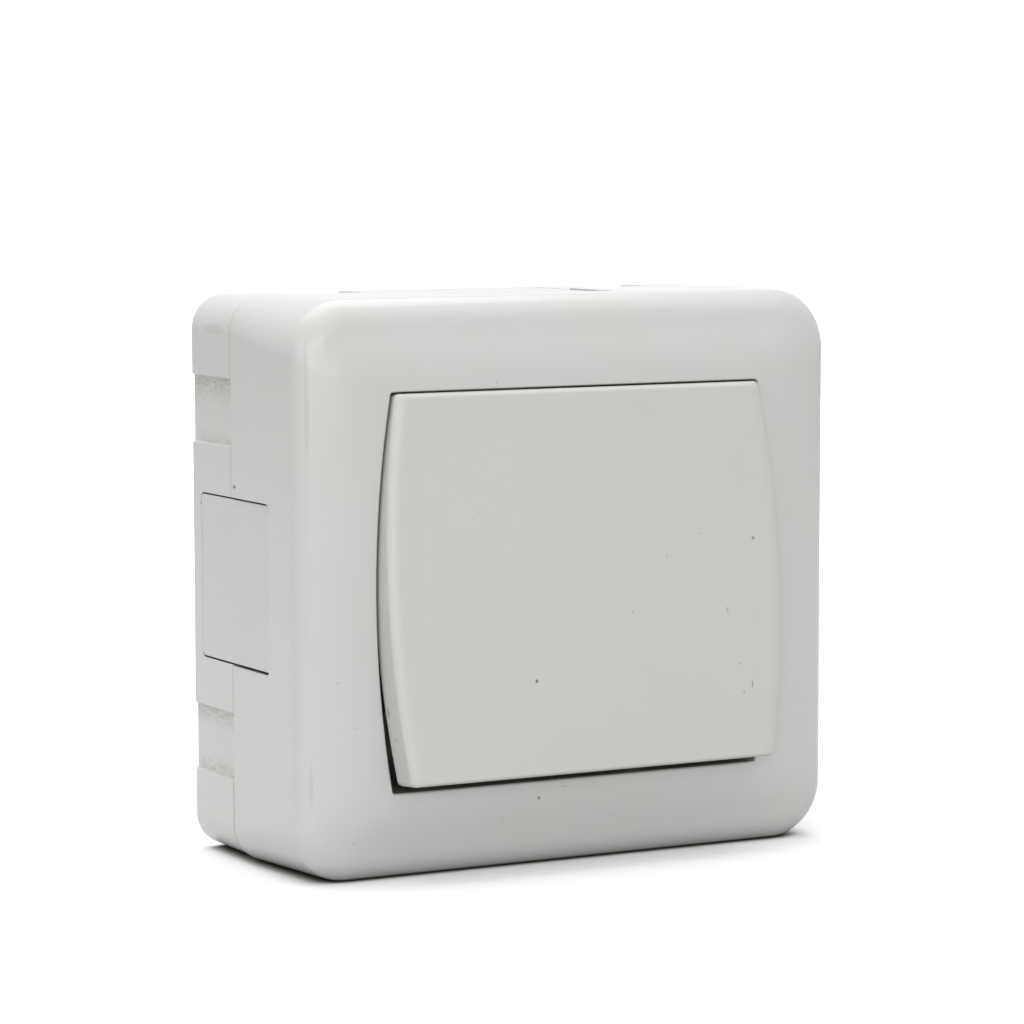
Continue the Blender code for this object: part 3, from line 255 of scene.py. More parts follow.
class EnclosureSettings(bpy.types.PropertyGroup):
    """Sizes and colours of the two enclosure mouldings and their cable entries."""

    colour: FloatVectorProperty(
        name="Colour", description="The glossy plastic's own colour", subtype="COLOR", size=3,
        min=0.0, max=1.0, default=(0.600, 0.602, 0.598),
    )
    roughness: FloatProperty(
        name="Roughness", description="How far the plastic's gloss spreads", subtype="FACTOR",
        min=0.0, max=1.0, default=0.20,
    )
    lip: FloatProperty(
        name="Opening lip", description="Radius of the rounded lip of the button's opening",
        unit="LENGTH", default=0.00035,
    )
    seam_round: FloatProperty(
        name="Seam round", description="Radius broken off the edges at the seam and the notches",
        unit="LENGTH", default=0.00014,
    )
    dirt_colour: FloatVectorProperty(
        name="Dirt colour", description="Grey-green dirt that collects in the recesses",
        subtype="COLOR", size=3, min=0.0, max=1.0, default=(0.26, 0.27, 0.21),
    )


class ButtonSettings(bpy.types.PropertyGroup):
    """Finish of the operating button."""

    colour: FloatVectorProperty(
        name="Colour", description="The satin plastic's own colour", subtype="COLOR", size=3,
        min=0.0, max=1.0, default=(0.582, 0.583, 0.566),
    )
    roughness: FloatProperty(
        name="Roughness", description="How far the button's sheen spreads", subtype="FACTOR",
        min=0.0, max=1.0, default=0.36,
    )


class MechanismSettings(bpy.types.PropertyGroup):
    """Colours of the switch module's plastics and metals."""

    housing_colour: FloatVectorProperty(
        name="Housing", description="The module's grey moulding", subtype="COLOR", size=3,
        min=0.0, max=1.0, default=(0.42, 0.42, 0.40),
    )
    brass_colour: FloatVectorProperty(
        name="Brass", description="The terminals' brass", subtype="COLOR", size=3,
        min=0.0, max=1.0, default=(0.72, 0.56, 0.30),
    )
    steel_colour: FloatVectorProperty(
        name="Steel", description="The screws' zinc-plated steel", subtype="COLOR", size=3,
        min=0.0, max=1.0, default=(0.62, 0.63, 0.65),
    )


class StudioSettings(bpy.types.PropertyGroup):
    """Levels of the lamps and of the paper that the switch stands on."""

    overhead_power: FloatProperty(
        name="Overhead lamp", description="Power of the large lamp above", unit="POWER", default=3.6,
    )
    rear_power: FloatProperty(
        name="Rear lamp", description="Power of the large lamp above and behind", unit="POWER", default=6.8,
    )
    front_power: FloatProperty(
        name="Front lamp", description="Power of the soft lamp in front", unit="POWER", default=10.9,
    )
    side_power: FloatProperty(
        name="Side lamp", description="Power of the soft lamp at the left", unit="POWER", default=2.5,
    )
    ambient: FloatProperty(
        name="Ambient level", description="Strength of the even light from all round", default=0.52,
    )
    paper_white: FloatProperty(
        name="Paper white", description="How bright the paper is seen close to the switch", default=1.05,
    )


def activate(*pieces):
    """Select only these objects, the first of them active."""
    bpy.ops.object.select_all(action="DESELECT")
    for piece in pieces:
        piece.select_set(True)
    bpy.context.view_layer.objects.active = pieces[0]


def start_piece(name):
    """An empty mesh object of this name, open in edit mode."""
    bpy.ops.object.select_all(action="DESELECT")
    bpy.ops.mesh.primitive_plane_add(size=1.0)
    piece = bpy.context.view_layer.objects.active
    piece.name = name
    piece.data.name = name
    bpy.ops.object.mode_set(mode="EDIT")
    bpy.ops.mesh.delete(type="VERT")
    return piece


def pick(piece, kind, test):
    """In edit mode, select only the verts, edges or faces that pass the test."""
    bpy.ops.mesh.select_all(action="DESELECT")
    bpy.ops.mesh.select_mode(type={"verts": "VERT", "edges": "EDGE", "faces": "FACE"}[kind])
    work = bmesh.from_edit_mesh(piece.data)
    for item in getattr(work, kind):
        item.select_set(test(item))
    work.select_flush_mode()
    bmesh.update_edit_mesh(piece.data)


def draw_section(piece, half_width, top, bottom, corner, depth, bow=0.0, settle=None):
    """Draw a closed line at a depth, round at its corners and bowed at its sides, as a vertex group.

    Settle gives how far back each point lies behind the depth, from its (x, z).
    """
    middle = (top + bottom) / 2
    half_height = (top - bottom) / 2
    centre = (0.0, -depth, middle)
    bpy.ops.mesh.select_all(action="DESELECT")
    bpy.ops.mesh.select_mode(type="VERT")
    bpy.ops.mesh.primitive_plane_add(size=1.0, location=centre, rotation=(math.pi / 2, 0.0, 0.0))
    size = (2 * half_width, 1.0, 2 * half_height)
    bpy.ops.transform.resize(value=size, center_override=centre)
    bpy.ops.mesh.bevel(offset=corner, segments=CORNER_CUTS, profile=0.5, affect="VERTICES")
    bpy.ops.object.vertex_group_assign_new()
    group = piece.vertex_groups.active_index
    bpy.ops.mesh.delete(type="ONLY_FACE")
    bpy.ops.mesh.select_mode(type="EDGE")
    for upright, cuts in ((True, SIDE_CUTS), (False, END_CUTS)):
        work = bmesh.from_edit_mesh(piece.data)
        layer = work.verts.layers.deform.verify()
        for edge in work.edges:
            own = all(group in vert[layer] for vert in edge.verts)
            along = edge.verts[0].co - edge.verts[1].co
            long_one = abs(along.z) > half_height if upright else abs(along.x) > half_width
            edge.select_set(own and long_one)
        bmesh.update_edit_mesh(piece.data)
        bpy.ops.mesh.subdivide(number_cuts=cuts)
    work = bmesh.from_edit_mesh(piece.data)
    layer = work.verts.layers.deform.verify()
    for vert in work.verts:
        if group not in vert[layer]:
            continue
        if abs(vert.co.x) > half_width - 2 * corner:
            height = min(abs(vert.co.z - middle), half_height - corner)
            vert.co.x += math.copysign(bow * (1 - (height / half_height) ** 2), vert.co.x)
        if settle:
            vert.co.y += settle(vert.co.x, vert.co.z)
    bmesh.update_edit_mesh(piece.data)


def bridge_sections(piece, closed):
    """Skin the drawn sections in order, and close the skin on itself or cap its two ends."""
    count = len(piece.vertex_groups)
    bpy.ops.mesh.select_mode(type="VERT")
    pairs = [(i, i + 1) for i in range(count - 1)]
    if closed:
        pairs.append((count - 1, 0))
    for pair in pairs:
        bpy.ops.mesh.select_all(action="DESELECT")
        for index in pair:
            piece.vertex_groups.active_index = index
            bpy.ops.object.vertex_group_select()
        bpy.ops.mesh.bridge_edge_loops()
    if not closed:
        for index in (0, count - 1):
            bpy.ops.mesh.select_all(action="DESELECT")
            piece.vertex_groups.active_index = index
            bpy.ops.object.vertex_group_select()
            bpy.ops.mesh.edge_face_add()
    bpy.ops.object.vertex_group_remove(all=True)
    bpy.ops.mesh.select_all(action="SELECT")
    bpy.ops.mesh.normals_make_consistent(inside=False)
    bpy.ops.object.mode_set(mode="OBJECT")


def drawn_box(name, across, rear_front, up):
    """A block between two x values, two depths and two z values."""
    centre = [sum(pair) / 2 for pair in (across, rear_front, up)]
    bpy.ops.object.select_all(action="DESELECT")
    bpy.ops.mesh.primitive_cube_add(size=1.0, location=(centre[0], -centre[1], centre[2]))
    box = bpy.context.view_layer.objects.active
    box.name = name
    box.scale = [abs(pair[1] - pair[0]) for pair in (across, rear_front, up)]
    bpy.ops.object.transform_apply(location=True, rotation=True, scale=True)
    return box


def apply_modifier(piece, kind, **settings):
    """Add a modifier with these settings and apply it."""
    activate(piece)
    bpy.ops.object.modifier_add(type=kind)
    step = piece.modifiers[-1]
    for key, value in settings.items():
        setattr(step, key, value)
    bpy.ops.object.modifier_apply(modifier=step.name)


def combine(piece, tool, operation):
    """Join a tool to the piece or cut it away, and delete the tool."""
    apply_modifier(piece, "BOOLEAN", operation=operation, solver="EXACT", object=tool)
    activate(tool)
    bpy.ops.object.delete()
    activate(piece)


def smooth(piece):
    """Smooth shading that keeps flats flat and real edges crisp."""
    activate(piece)
    bpy.ops.object.shade_smooth_by_angle(angle=SMOOTH_ANGLE)
    apply_modifier(piece, "WEIGHTED_NORMAL", keep_sharp=True, weight=60)


def merged_copy(node, name):
    """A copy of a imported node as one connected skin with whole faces."""
    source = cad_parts[node]
    activate(source)
    bpy.ops.object.duplicate(linked=False)
    piece = bpy.context.view_layer.objects.active
    piece.name = name
    piece.data.name = name
    piece.data.materials.clear()
    bpy.ops.object.mode_set(mode="EDIT")
    bpy.ops.mesh.select_all(action="SELECT")
    bpy.ops.mesh.remove_doubles(threshold=MERGE_REACH)
    bpy.ops.mesh.customdata_custom_splitnormals_clear()
    bpy.ops.mesh.dissolve_limited(angle_limit=FLAT_ANGLE)
    bpy.ops.object.mode_set(mode="OBJECT")
    return piece


def settle_piece(piece, body, node, finish):
    """Give the piece its finish, and have it stand for its node on its body."""
    piece.data.materials.clear()
    piece.data.materials.append(finish)
    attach(piece, body)
    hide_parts(node)


def break_edges(piece, test, width, segments=2):
    """Round off the edges that pass the test."""
    activate(piece)
    bpy.ops.object.mode_set(mode="EDIT")
    pick(piece, "edges", test)
    bpy.ops.mesh.bevel(offset=width, segments=segments, profile=0.5, affect="EDGES", clamp_overlap=False)
    bpy.ops.object.mode_set(mode="OBJECT")


def notch_tool(angle, reach):
    """The block that cuts a cable entry's notch into one side."""
    depths = (ENTRY_REAR - ENTRY_GAP, ENTRY_FRONT + ENTRY_GAP)
    half = ENTRY_WIDTH / 2 + ENTRY_GAP
    tool = drawn_box("notch_tool", (-reach - NOTCH_REACH, -reach + NOTCH_REACH), depths, (-half, half))
    bpy.ops.object.mode_set(mode="EDIT")
    pick(tool, "edges", lambda edge: abs(edge.verts[0].co.x - edge.verts[1].co.x) > NOTCH_REACH)
    bpy.ops.mesh.bevel(offset=ENTRY_CORNER + ENTRY_GAP, segments=5, profile=0.5, affect="EDGES")
    bpy.ops.object.mode_set(mode="OBJECT")
    tool.rotation_euler = (0.0, angle, 0.0)
    bpy.ops.object.transform_apply(location=True, rotation=True, scale=True)
    return tool


def on_notch_line(point):
    """Whether a point is on the outer outline of a cable entry's notch, on any side."""
    if abs(abs(point.x) - BASE_WIDTH / 2 - COVER_OVERHANG) < ON_LINE:
        along = abs(point.z)
    elif abs(abs(point.z) - BASE_HEIGHT / 2 - COVER_OVERHANG) < ON_LINE:
        along = abs(point.x)
    else:
        return False
    half_width = ENTRY_WIDTH / 2 + ENTRY_GAP + NOTCH_SLACK + ON_LINE
    return along < half_width and -point.y < ENTRY_FRONT + ENTRY_GAP + ON_LINE


def cover_profile(wall):
    """(inward distance, depth) points of the cover's skin, or of a skin this far inside it."""
    slope = math.asin((COVER_REACH - EDGE_RADIUS) / (CROWN_RADIUS - EDGE_RADIUS))
    crown_centre = FRONT_DEPTH - CROWN_RADIUS
    edge_centre = crown_centre + (CROWN_RADIUS - EDGE_RADIUS) * math.cos(slope)
    points = []
    for i in range(EDGE_STEPS + 1):
        turn = (math.pi / 2 - slope) * i / EDGE_STEPS
        radius = EDGE_RADIUS - wall
        points.append((radius * (1 - math.cos(turn)), edge_centre + radius * math.sin(turn)))
    last = math.asin((CROWN_STOP + wall) / (CROWN_RADIUS - wall))
    for i in range(1, CROWN_STEPS + 1):
        turn = slope + (last - slope) * i / CROWN_STEPS
        radius = CROWN_RADIUS - wall
        inward = COVER_REACH - wall - radius * math.sin(turn)
        points.append((inward, crown_centre + radius * math.cos(turn)))
    return points


def cover_section(piece, wall, inward, depth, narrowed=0.0):
    """One line of the cover's skin: it runs in further at the top and bottom than at the sides."""
    reach = COVER_REACH - wall
    edge = EDGE_RADIUS - wall
    if inward < edge:
        end_inward = EDGE_STRETCH * inward
    else:
        end_inward = reach - (reach - EDGE_STRETCH * edge) * (reach - inward) / (reach - edge)
    share = (depth - BASE_DEPTH) / (FRONT_DEPTH - BASE_DEPTH)
    corner = REAR_CORNER + (FRONT_CORNER - REAR_CORNER) * share
    start = wall - COVER_OVERHANG + narrowed
    radius = corner * math.exp(-(start + inward) / corner)
    half_height = BASE_HEIGHT / 2 - start - end_inward
    draw_section(piece, BASE_WIDTH / 2 - start - inward, half_height, -half_height, radius, depth)


def opening_section(piece, outset, depth, settle=None):
    """One line round the opening at an even distance."""
    half_height = OPENING_HEIGHT / 2 + outset
    corner = OPENING_CORNER + outset
    half_width = OPENING_WIDTH / 2 + outset
    top = half_height - OPENING_DROP
    bottom = -half_height - OPENING_DROP
    draw_section(piece, half_width, top, bottom, corner, depth, OPENING_BOW, settle)


def crown_drop(x, z):
    """How far the crown lies behind the cover's frontmost line at a point beside the opening."""
    beside = COVER_REACH - (BASE_WIDTH / 2 + COVER_OVERHANG - abs(x))
    above = abs(z) - OPENING_HEIGHT / 2
    away = max(beside, above, 0.0)
    return CROWN_RADIUS - math.sqrt(CROWN_RADIUS ** 2 - away ** 2)


def front_cover(settings):
    """The crowned front moulding: a skin from the seam over the crown, round the lip and back inside."""
    cover = start_piece("cover_moulding")
    seam = BASE_DEPTH + SEAM_GAP
    broken = settings.seam_round
    cover_section(cover, 0.0, 0.0, seam, narrowed=broken)
    cover_section(cover, 0.0, 0.0, seam + broken)
    for inward, depth in cover_profile(0.0):
        cover_section(cover, 0.0, inward, depth)
    lip = settings.lip
    for i in range(LIP_STEPS + 1):
        turn = math.pi / 2 * (1 - i / LIP_STEPS)
        outset = lip * (1 - math.cos(turn))
        depth = FRONT_DEPTH - lip * (1 - math.sin(turn))
        opening_section(cover, outset, depth, settle=crown_drop if i == 0 else None)
    rear = FRONT_DEPTH - COLLAR_DEPTH
    opening_section(cover, 0.0, rear)
    opening_section(cover, COLLAR_WALL, rear)
    opening_section(cover, COLLAR_WALL, FRONT_DEPTH - COVER_WALL)
    for inward, depth in reversed(cover_profile(COVER_WALL)[:-1]):
        cover_section(cover, COVER_WALL, inward, depth)
    cover_section(cover, COVER_WALL, 0.0, seam)
    bridge_sections(cover, closed=True)
    for side in (-1, 1):
        for middle in (-LATCH_CENTRE, LATCH_CENTRE):
            wall_x = BASE_WIDTH / 2 - COVER_INNER_INSET
            across = sorted((side * (wall_x + OVERLAP), side * (wall_x - CATCH_REACH)))
            up = (middle - CATCH_WIDTH / 2, middle + CATCH_WIDTH / 2)
            catch = drawn_box("cover_catch", across, (CATCH_FRONT - CATCH_LENGTH, CATCH_FRONT), up)
            combine(cover, catch, "UNION")
    for _, angle, reach in ENTRY_SIDES:
        combine(cover, notch_tool(angle, reach), "DIFFERENCE")
    left_side = -BASE_WIDTH / 2
    lower_line = -ENTRY_WIDTH / 2 - ENTRY_GAP
    across = (left_side - NOTCH_REACH, left_side + NOTCH_REACH)
    depths = (ENTRY_REAR, ENTRY_FRONT + ENTRY_GAP - ENTRY_CORNER)
    up = (lower_line - NOTCH_SLACK, lower_line + NOTCH_REACH)
    combine(cover, drawn_box("notch_slack", across, depths, up), "DIFFERENCE")
    break_edges(cover, lambda edge: all(on_notch_line(vert.co) for vert in edge.verts), broken)
    smooth(cover)
    return cover


def rocker_section(piece, depth, wall=0.0, insets=(0.0, 0.0, 0.0)):
    """One line of the button at a depth forward of its pivot, inset at its sides, top and foot."""
    half_width = OPENING_WIDTH / 2 - ROCKER_SIDE_GAP - wall - insets[0]
    top = ROCKER_TOP - wall - insets[1]
    bottom = -ROCKER_FOOT + wall + insets[2]
    draw_section(piece, half_width, top, bottom, ROCKER_CORNER, depth, OPENING_BOW)


def rocker():
    """The operating button: face and skirt, ribs and hooks, tipped to its rest position."""
    button = start_piece("button_moulding")
    front = ROCKER_PIVOT_BACK
    rear = front - ROCKER_SKIRT
    rocker_section(button, front - ROCKER_FACE, ROCKER_WALL)
    rocker_section(button, rear + RIM_ROUND, ROCKER_WALL)
    rocker_section(button, rear + RIM_ROUND / 10, ROCKER_WALL - RIM_ROUND)
    rocker_section(button, rear, RIM_ROUND)
    rocker_section(button, rear + RIM_ROUND)
    for i in range(ROUND_STEPS + 1):
        turn = math.pi / 2 * i / ROUND_STEPS
        share = 1 - math.cos(turn)
        depth = front + ROCKER_RISE - ROCKER_ROUND_DEPTH * (1 - math.sin(turn))
        insets = [share * size for size in (ROCKER_SIDE_ROUND, ROCKER_TOP_ROUND, ROCKER_FOOT_ROUND)]
        rocker_section(button, depth, insets=insets)
    bridge_sections(button, closed=False)
    half_width = OPENING_WIDTH / 2 - ROCKER_WALL / 2
    half_height = OPENING_HEIGHT / 2 - ROCKER_WALL / 2
    rib_depths = (front - ROCKER_FACE - ROCKER_RIB_HEIGHT, front - ROCKER_FACE + OVERLAP)
    across = half_width - ROCKER_SIDE_GAP
    up = half_height - ROCKER_WALL / 2
    for side in (-1, 1):
        column = side * (half_width - RIB_INSET)
        row = side * (half_height - RIB_INSET)
        rib_x = (column - ROCKER_RIB / 2, column + ROCKER_RIB / 2)
        rib_z = (row - ROCKER_RIB / 2, row + ROCKER_RIB / 2)
        combine(button, drawn_box("upright_rib", rib_x, rib_depths, (-up, up)), "UNION")
        combine(button, drawn_box("level_rib", (-across, across), rib_depths, rib_z), "UNION")
        for middle in (-HOOK_SPACING / 2, HOOK_SPACING / 2):
            ends = (middle - HOOK_WIDTH / 2, middle + HOOK_WIDTH / 2)
            outer = HOOK_INNER + HOOK_THICKNESS
            hook_rear = front - ROCKER_FACE - HOOK_LENGTH
            arm_x = sorted((side * HOOK_INNER, side * outer))
            arm = drawn_box("hook_arm", arm_x, (hook_rear, front - ROCKER_FACE + OVERLAP), ends)
            combine(button, arm, "UNION")
            barb_x = sorted((side * (HOOK_INNER - HOOK_BARB), side * (HOOK_INNER + HOOK_THICKNESS / 2)))
            barb = drawn_box("hook_barb", barb_x, (hook_rear, hook_rear + HOOK_BARB_LENGTH), ends)
            combine(button, barb, "UNION")
    activate(button)
    button.location = (ROCKER_PLAY, -ROCKER_PIVOT_DEPTH, 0.0)
    button.rotation_euler = (-ROCKER_TILT, 0.0, 0.0)
    bpy.ops.object.transform_apply(location=True, rotation=True, scale=True)
    smooth(button)
    return button


def at_seam(edge):
    """Whether an edge of the base runs along its outer front edge."""
    flush = all(abs(vert.co.y + BASE_DEPTH) < ON_LINE for vert in edge.verts)
    middle = (edge.verts[0].co + edge.verts[1].co) / 2
    inset = min(BASE_WIDTH / 2 - abs(middle.x), BASE_HEIGHT / 2 - abs(middle.z))
    return flush and inset < SEAM_BAND and edge.calc_face_angle(0.0) > SHARP_ANGLE


def mounting_base(settings):
    """The rear moulding, with the edges at the seam broken."""
    base = merged_copy("mounting_base", "base_moulding")
    break_edges(base, at_seam, settings.seam_round)
    smooth(base)
    return base


def cable_entry(side, angle, reach):
    """A cable-entry insert with its rear edge set closer to the base and its outer edges broken."""
    entry = merged_copy("cable_entry_" + side, "entry_insert_" + side)
    for vert in entry.data.vertices:
        if abs(vert.co.y + ENTRY_REAR) < ON_LINE:
            vert.co.y += ENTRY_REAR_CLOSER
    outward = Vector((-1.0, 0.0, 0.0))
    outward.rotate(Matrix.Rotation(angle, 3, "Y"))

    def outer_edge(edge):
        """Whether an edge is on the outer face's outline, but not at the rear."""
        flush = all(abs(vert.co.dot(outward) - reach) < ON_LINE for vert in edge.verts)
        in_front = any(-vert.co.y > ENTRY_REAR + ENTRY_CORNER for vert in edge.verts)
        return flush and in_front and edge.calc_face_angle(0.0) > SHARP_ANGLE

    break_edges(entry, outer_edge, ENTRY_ROUND)
    smooth(entry)
    return entry


def new_material(name, colour, roughness, metallic=0.0):
    """A material with these values: itself, its tree, its shader and its place on the object."""
    made = bpy.data.materials.new(name)
    made.use_nodes = True
    shader = made.node_tree.nodes["Principled BSDF"]
    shader.inputs["Base Color"].default_value = (*colour, 1.0)
    shader.inputs["Roughness"].default_value = roughness
    shader.inputs["Metallic"].default_value = metallic
    made.diffuse_color = (*colour, 1.0)
    return made, made.node_tree, shader, place(made.node_tree)


def node(tree, kind, **values):
    """A node with its settings, and with its sockets set or linked by name or number."""
    made = tree.nodes.new(kind)
    sockets = values.pop("sockets", {})
    for key, value in values.items():
        setattr(made, key, value)
    for key, value in sockets.items():
        if isinstance(value, bpy.types.NodeSocket):
            tree.links.new(value, made.inputs[key])
        else:
            made.inputs[key].default_value = value
    return made


def place(tree):
    """The socket that gives a point's place on the object."""
    return node(tree, "ShaderNodeTexCoord").outputs["Object"]


def noise(tree, where, scale, detail=3.0, roughness=0.55):
    """A noise pattern's value, its scale in lumps per metre."""
    sockets = {"Vector": where, "Scale": scale, "Detail": detail, "Roughness": roughness}
    return node(tree, "ShaderNodeTexNoise", sockets=sockets).outputs["Fac"]


def remap(tree, value, low, high, to_low, to_high, smooth_ends=False):
    """The value carried from one range to another and held at its ends."""
    kind = "SMOOTHSTEP" if smooth_ends else "LINEAR"
    sockets = {0: value, 1: low, 2: high, 3: to_low, 4: to_high}
    return node(tree, "ShaderNodeMapRange", interpolation_type=kind, clamp=True, sockets=sockets).outputs[0]


def maths(tree, operation, first, second=0.0):
    """A sum on one or two values."""
    return node(tree, "ShaderNodeMath", operation=operation, sockets={0: first, 1: second}).outputs[0]


def product(tree, first, *others):
    """The values multiplied with one another."""
    for other in others:
        first = maths(tree, "MULTIPLY", first, other)
    return first


def vector_maths(tree, operation, first, second):
    """A sum on two vectors."""
    return node(tree, "ShaderNodeVectorMath", operation=operation, sockets={0: first, 1: second}).outputs[0]


def length(tree, vector):
    """How long a vector is."""
    return node(tree, "ShaderNodeVectorMath", operation="LENGTH", sockets={0: vector}).outputs["Value"]


def axes(tree, where):
    """The x, y and z of a place."""
    return node(tree, "ShaderNodeSeparateXYZ", sockets={0: where}).outputs


def stretched(tree, where, scale):
    """The place with its axes scaled."""
    return node(tree, "ShaderNodeMapping", sockets={"Vector": where, "Scale": scale}).outputs[0]


def openness(tree, reach):
    """How open the space round a point is within a reach, from 0 for shut to 1 for free."""
    return node(tree, "ShaderNodeAmbientOcclusion", samples=8, sockets={"Distance": reach}).outputs["AO"]


def mix_colour(tree, share, first, second):
    """The second colour laid over the first by a share."""
    sockets = {0: share, 6: first, 7: second}
    return node(tree, "ShaderNodeMix", data_type="RGBA", sockets=sockets).outputs[2]


def moulded_skin(tree, shader, where, colour, roughness, spread, grain_depth):
    """This colour on moulded plastic: faint ripple, fine grain and patches of wear in the gloss."""
    tree.links.new(colour, shader.inputs["Base Color"])
    ripple = noise(tree, where, RIPPLE_SCALE, 2.0)
    grain = noise(tree, where, GRAIN_SCALE, 2.0)
    patches = noise(tree, where, GLOSS_PATCH_SCALE, 4.0)
    gloss = remap(tree, patches, 0.3, 0.7, roughness - spread, roughness + spread)
    tree.links.new(gloss, shader.inputs["Roughness"])
    sockets = {"Strength": 0.25, "Distance": RIPPLE_HEIGHT, "Height": ripple}
    coarse = node(tree, "ShaderNodeBump", sockets=sockets).outputs[0]
    sockets = {"Strength": 0.5, "Distance": grain_depth, "Height": grain, "Normal": coarse}
    fine = node(tree, "ShaderNodeBump", sockets=sockets).outputs[0]
    tree.links.new(fine, shader.inputs["Normal"])


def covered(tree, where, marks):
    """How much of a point small marks cover: each has a centre, a reach or one per axis, a strength."""
    total = None
    for centre, reach, strength in marks:
        if isinstance(reach, float):
            reach = (reach, reach, reach)
        offset = vector_maths(tree, "SUBTRACT", where, centre)
        away = length(tree, vector_maths(tree, "DIVIDE", offset, reach))
        mark = remap(tree, away, MARK_CORE, MARK_EDGE, strength, 0.0)
        total = mark if total is None else maths(tree, "MAXIMUM", total, mark)
    return total


def dust_and_reflection_marked(tree, where, colour, marks, tint):
    """The colour with ragged marks over it: dust specks and scratches, and painted reflection lines where
    the list holds them.
    """
    sockets = {"Vector": where, "Scale": MARK_RAG_SCALE}
    lumps = node(tree, "ShaderNodeTexNoise", sockets=sockets).outputs["Color"]
    shift = vector_maths(tree, "SUBTRACT", lumps, (0.5, 0.5, 0.5))
    moved = vector_maths(tree, "ADD", where, vector_maths(tree, "MULTIPLY", shift, (MARK_RAG_REACH,) * 3))
    return mix_colour(tree, covered(tree, moved, marks), colour, (*tint, 1.0))


COVER_DUST_AND_REFLECTION_MARKS = [
    ((-0.00657, -0.03855, -0.03091), 0.00028, 0.75),
    ((-0.01334, -0.03867, 0.02905), 0.00022, 0.28),
    ((0.00204, -0.03727, -0.03696), 0.0002, 0.25),
    ((-0.01223, -0.0381, -0.03356), 0.00018, 0.3),
    ((-0.03574, -0.03835, -0.01863), 0.00018, 0.25),
    ((-0.03571, -0.03761, -0.03512), 0.00018, 0.3),
    ((-0.0381, -0.03794, -0.01215), 0.00018, 0.28),
    ((-0.03569, -0.03836, -0.01268), 0.00016, 0.22),
    ((-0.0435, -0.02041, 0.0249), 0.0002, 0.2),
    ((-0.0435, -0.01554, 0.01373), (0.0004, 0.0005, 0.00028), 0.95),
    ((-0.0435, -0.02695, 0.01145), (0.0003, 0.0003, 0.0007), 0.35),
    ((-0.00247, -0.03866, -0.0295), (0.0006, 0.0005, 0.00012), 0.28),
    # Two faint dark painted reflection lines down the round of the front-left edge
    ((-0.04199, -0.03663, 0.026), (0.00035, 0.00035, 0.008), 0.08),
    ((-0.04185, -0.03683, -0.0266), (0.0003, 0.0003, 0.0032), 0.12),
]

BUTTON_MARKS = [
    ((-0.00946, -0.04335, -0.01318), 0.00026, 0.85),
    ((0.02743, -0.04173, 0.00514), 0.00025, 0.65),
    ((0.01862, -0.04163, 0.00631), 0.00018, 0.28),
    ((0.01275, -0.04189, 0.00337), 0.00018, 0.28),
    ((0.02143, -0.04085, 0.01514), 0.00018, 0.2),
    ((-0.01755, -0.04123, 0.01085), 0.00016, 0.18),
    ((0.00662, -0.04257, -0.00432), 0.0002, 0.28),
    ((0.02256, -0.04263, -0.00499), (0.00018, 0.0005, 0.0004), 0.32),
    ((0.02422, -0.04332, -0.01287), 0.00018, 0.36),
    ((0.0263, -0.0436, -0.01606), (0.00014, 0.0005, 0.00055), 0.48),
    ((0.02484, -0.04369, -0.01709), (0.0002, 0.0005, 0.00035), 0.3),
    ((0.02093, -0.04387, -0.01903), 0.00016, 0.16),
    ((-0.03106, -0.03955, -0.01667), (0.0004, 0.0004, 0.0007), 0.4),
    ((-0.03059, -0.04089, -0.02041), (0.0004, 0.0006, 0.0003), 0.28),
]

BASE_MARKS = [
    ((-0.04325, -0.0035, 0.01043), (0.0004, 0.0005, 0.00035), 0.95),
    ((-0.04325, -0.00355, 0.00392), 0.00026, 0.35),
    ((-0.04325, -0.0035, 0.00572), 0.00024, 0.35),
    ((-0.04325, -0.0035, -0.00627), 0.00026, 0.45),
    ((-0.04325, -0.0035, -0.0073), 0.00024, 0.3),
    ((-0.0432, -0.0081, 0.036), (0.0006, 0.0034, 0.0007), 0.12),
    ((-0.025, -0.0045, 0.04075), (0.0012, 0.0022, 0.0006), 0.22),
    ((-0.022, -0.009, 0.04075), (0.001, 0.0026, 0.0006), 0.16),
]

# Dirt in the side recesses: how thick it lies at each height
RECESS_DIRT = [
    (-0.0292, 0.55),
    (-0.0262, 0.03),
    (-0.0224, 0.03),
    (-0.0194, 0.65),
    (0.0194, 0.35),
    (0.0214, 0.02),
    (0.0248, 0.06),
    (0.029, 0.6),
]


def plastic_colour(tree, where, colour):
    """Plastic whose tone drifts very slightly over the moulding."""
    drift = noise(tree, where, TONE_DRIFT_SCALE, 5.0)
    warmer = [part * share for part, share in zip(colour, TONE_DRIFT)]
    return mix_colour(tree, remap(tree, drift, 0.35, 0.65, 0.0, 1.0), (*colour, 1.0), (*warmer, 1.0))


def shaded_in_gaps(tree, colour):
    """The colour with painted shade, dark brown, where a point lies in a narrow gap."""
    share = remap(tree, openness(tree, CREVICE_SHADE_REACH), CREVICE_SHADE_SHUT, CREVICE_SHADE_OPEN, CREVICE_SHADE_SHARE, 0.0)
    return mix_colour(tree, share, colour, CREVICE_SHADE_COLOUR)


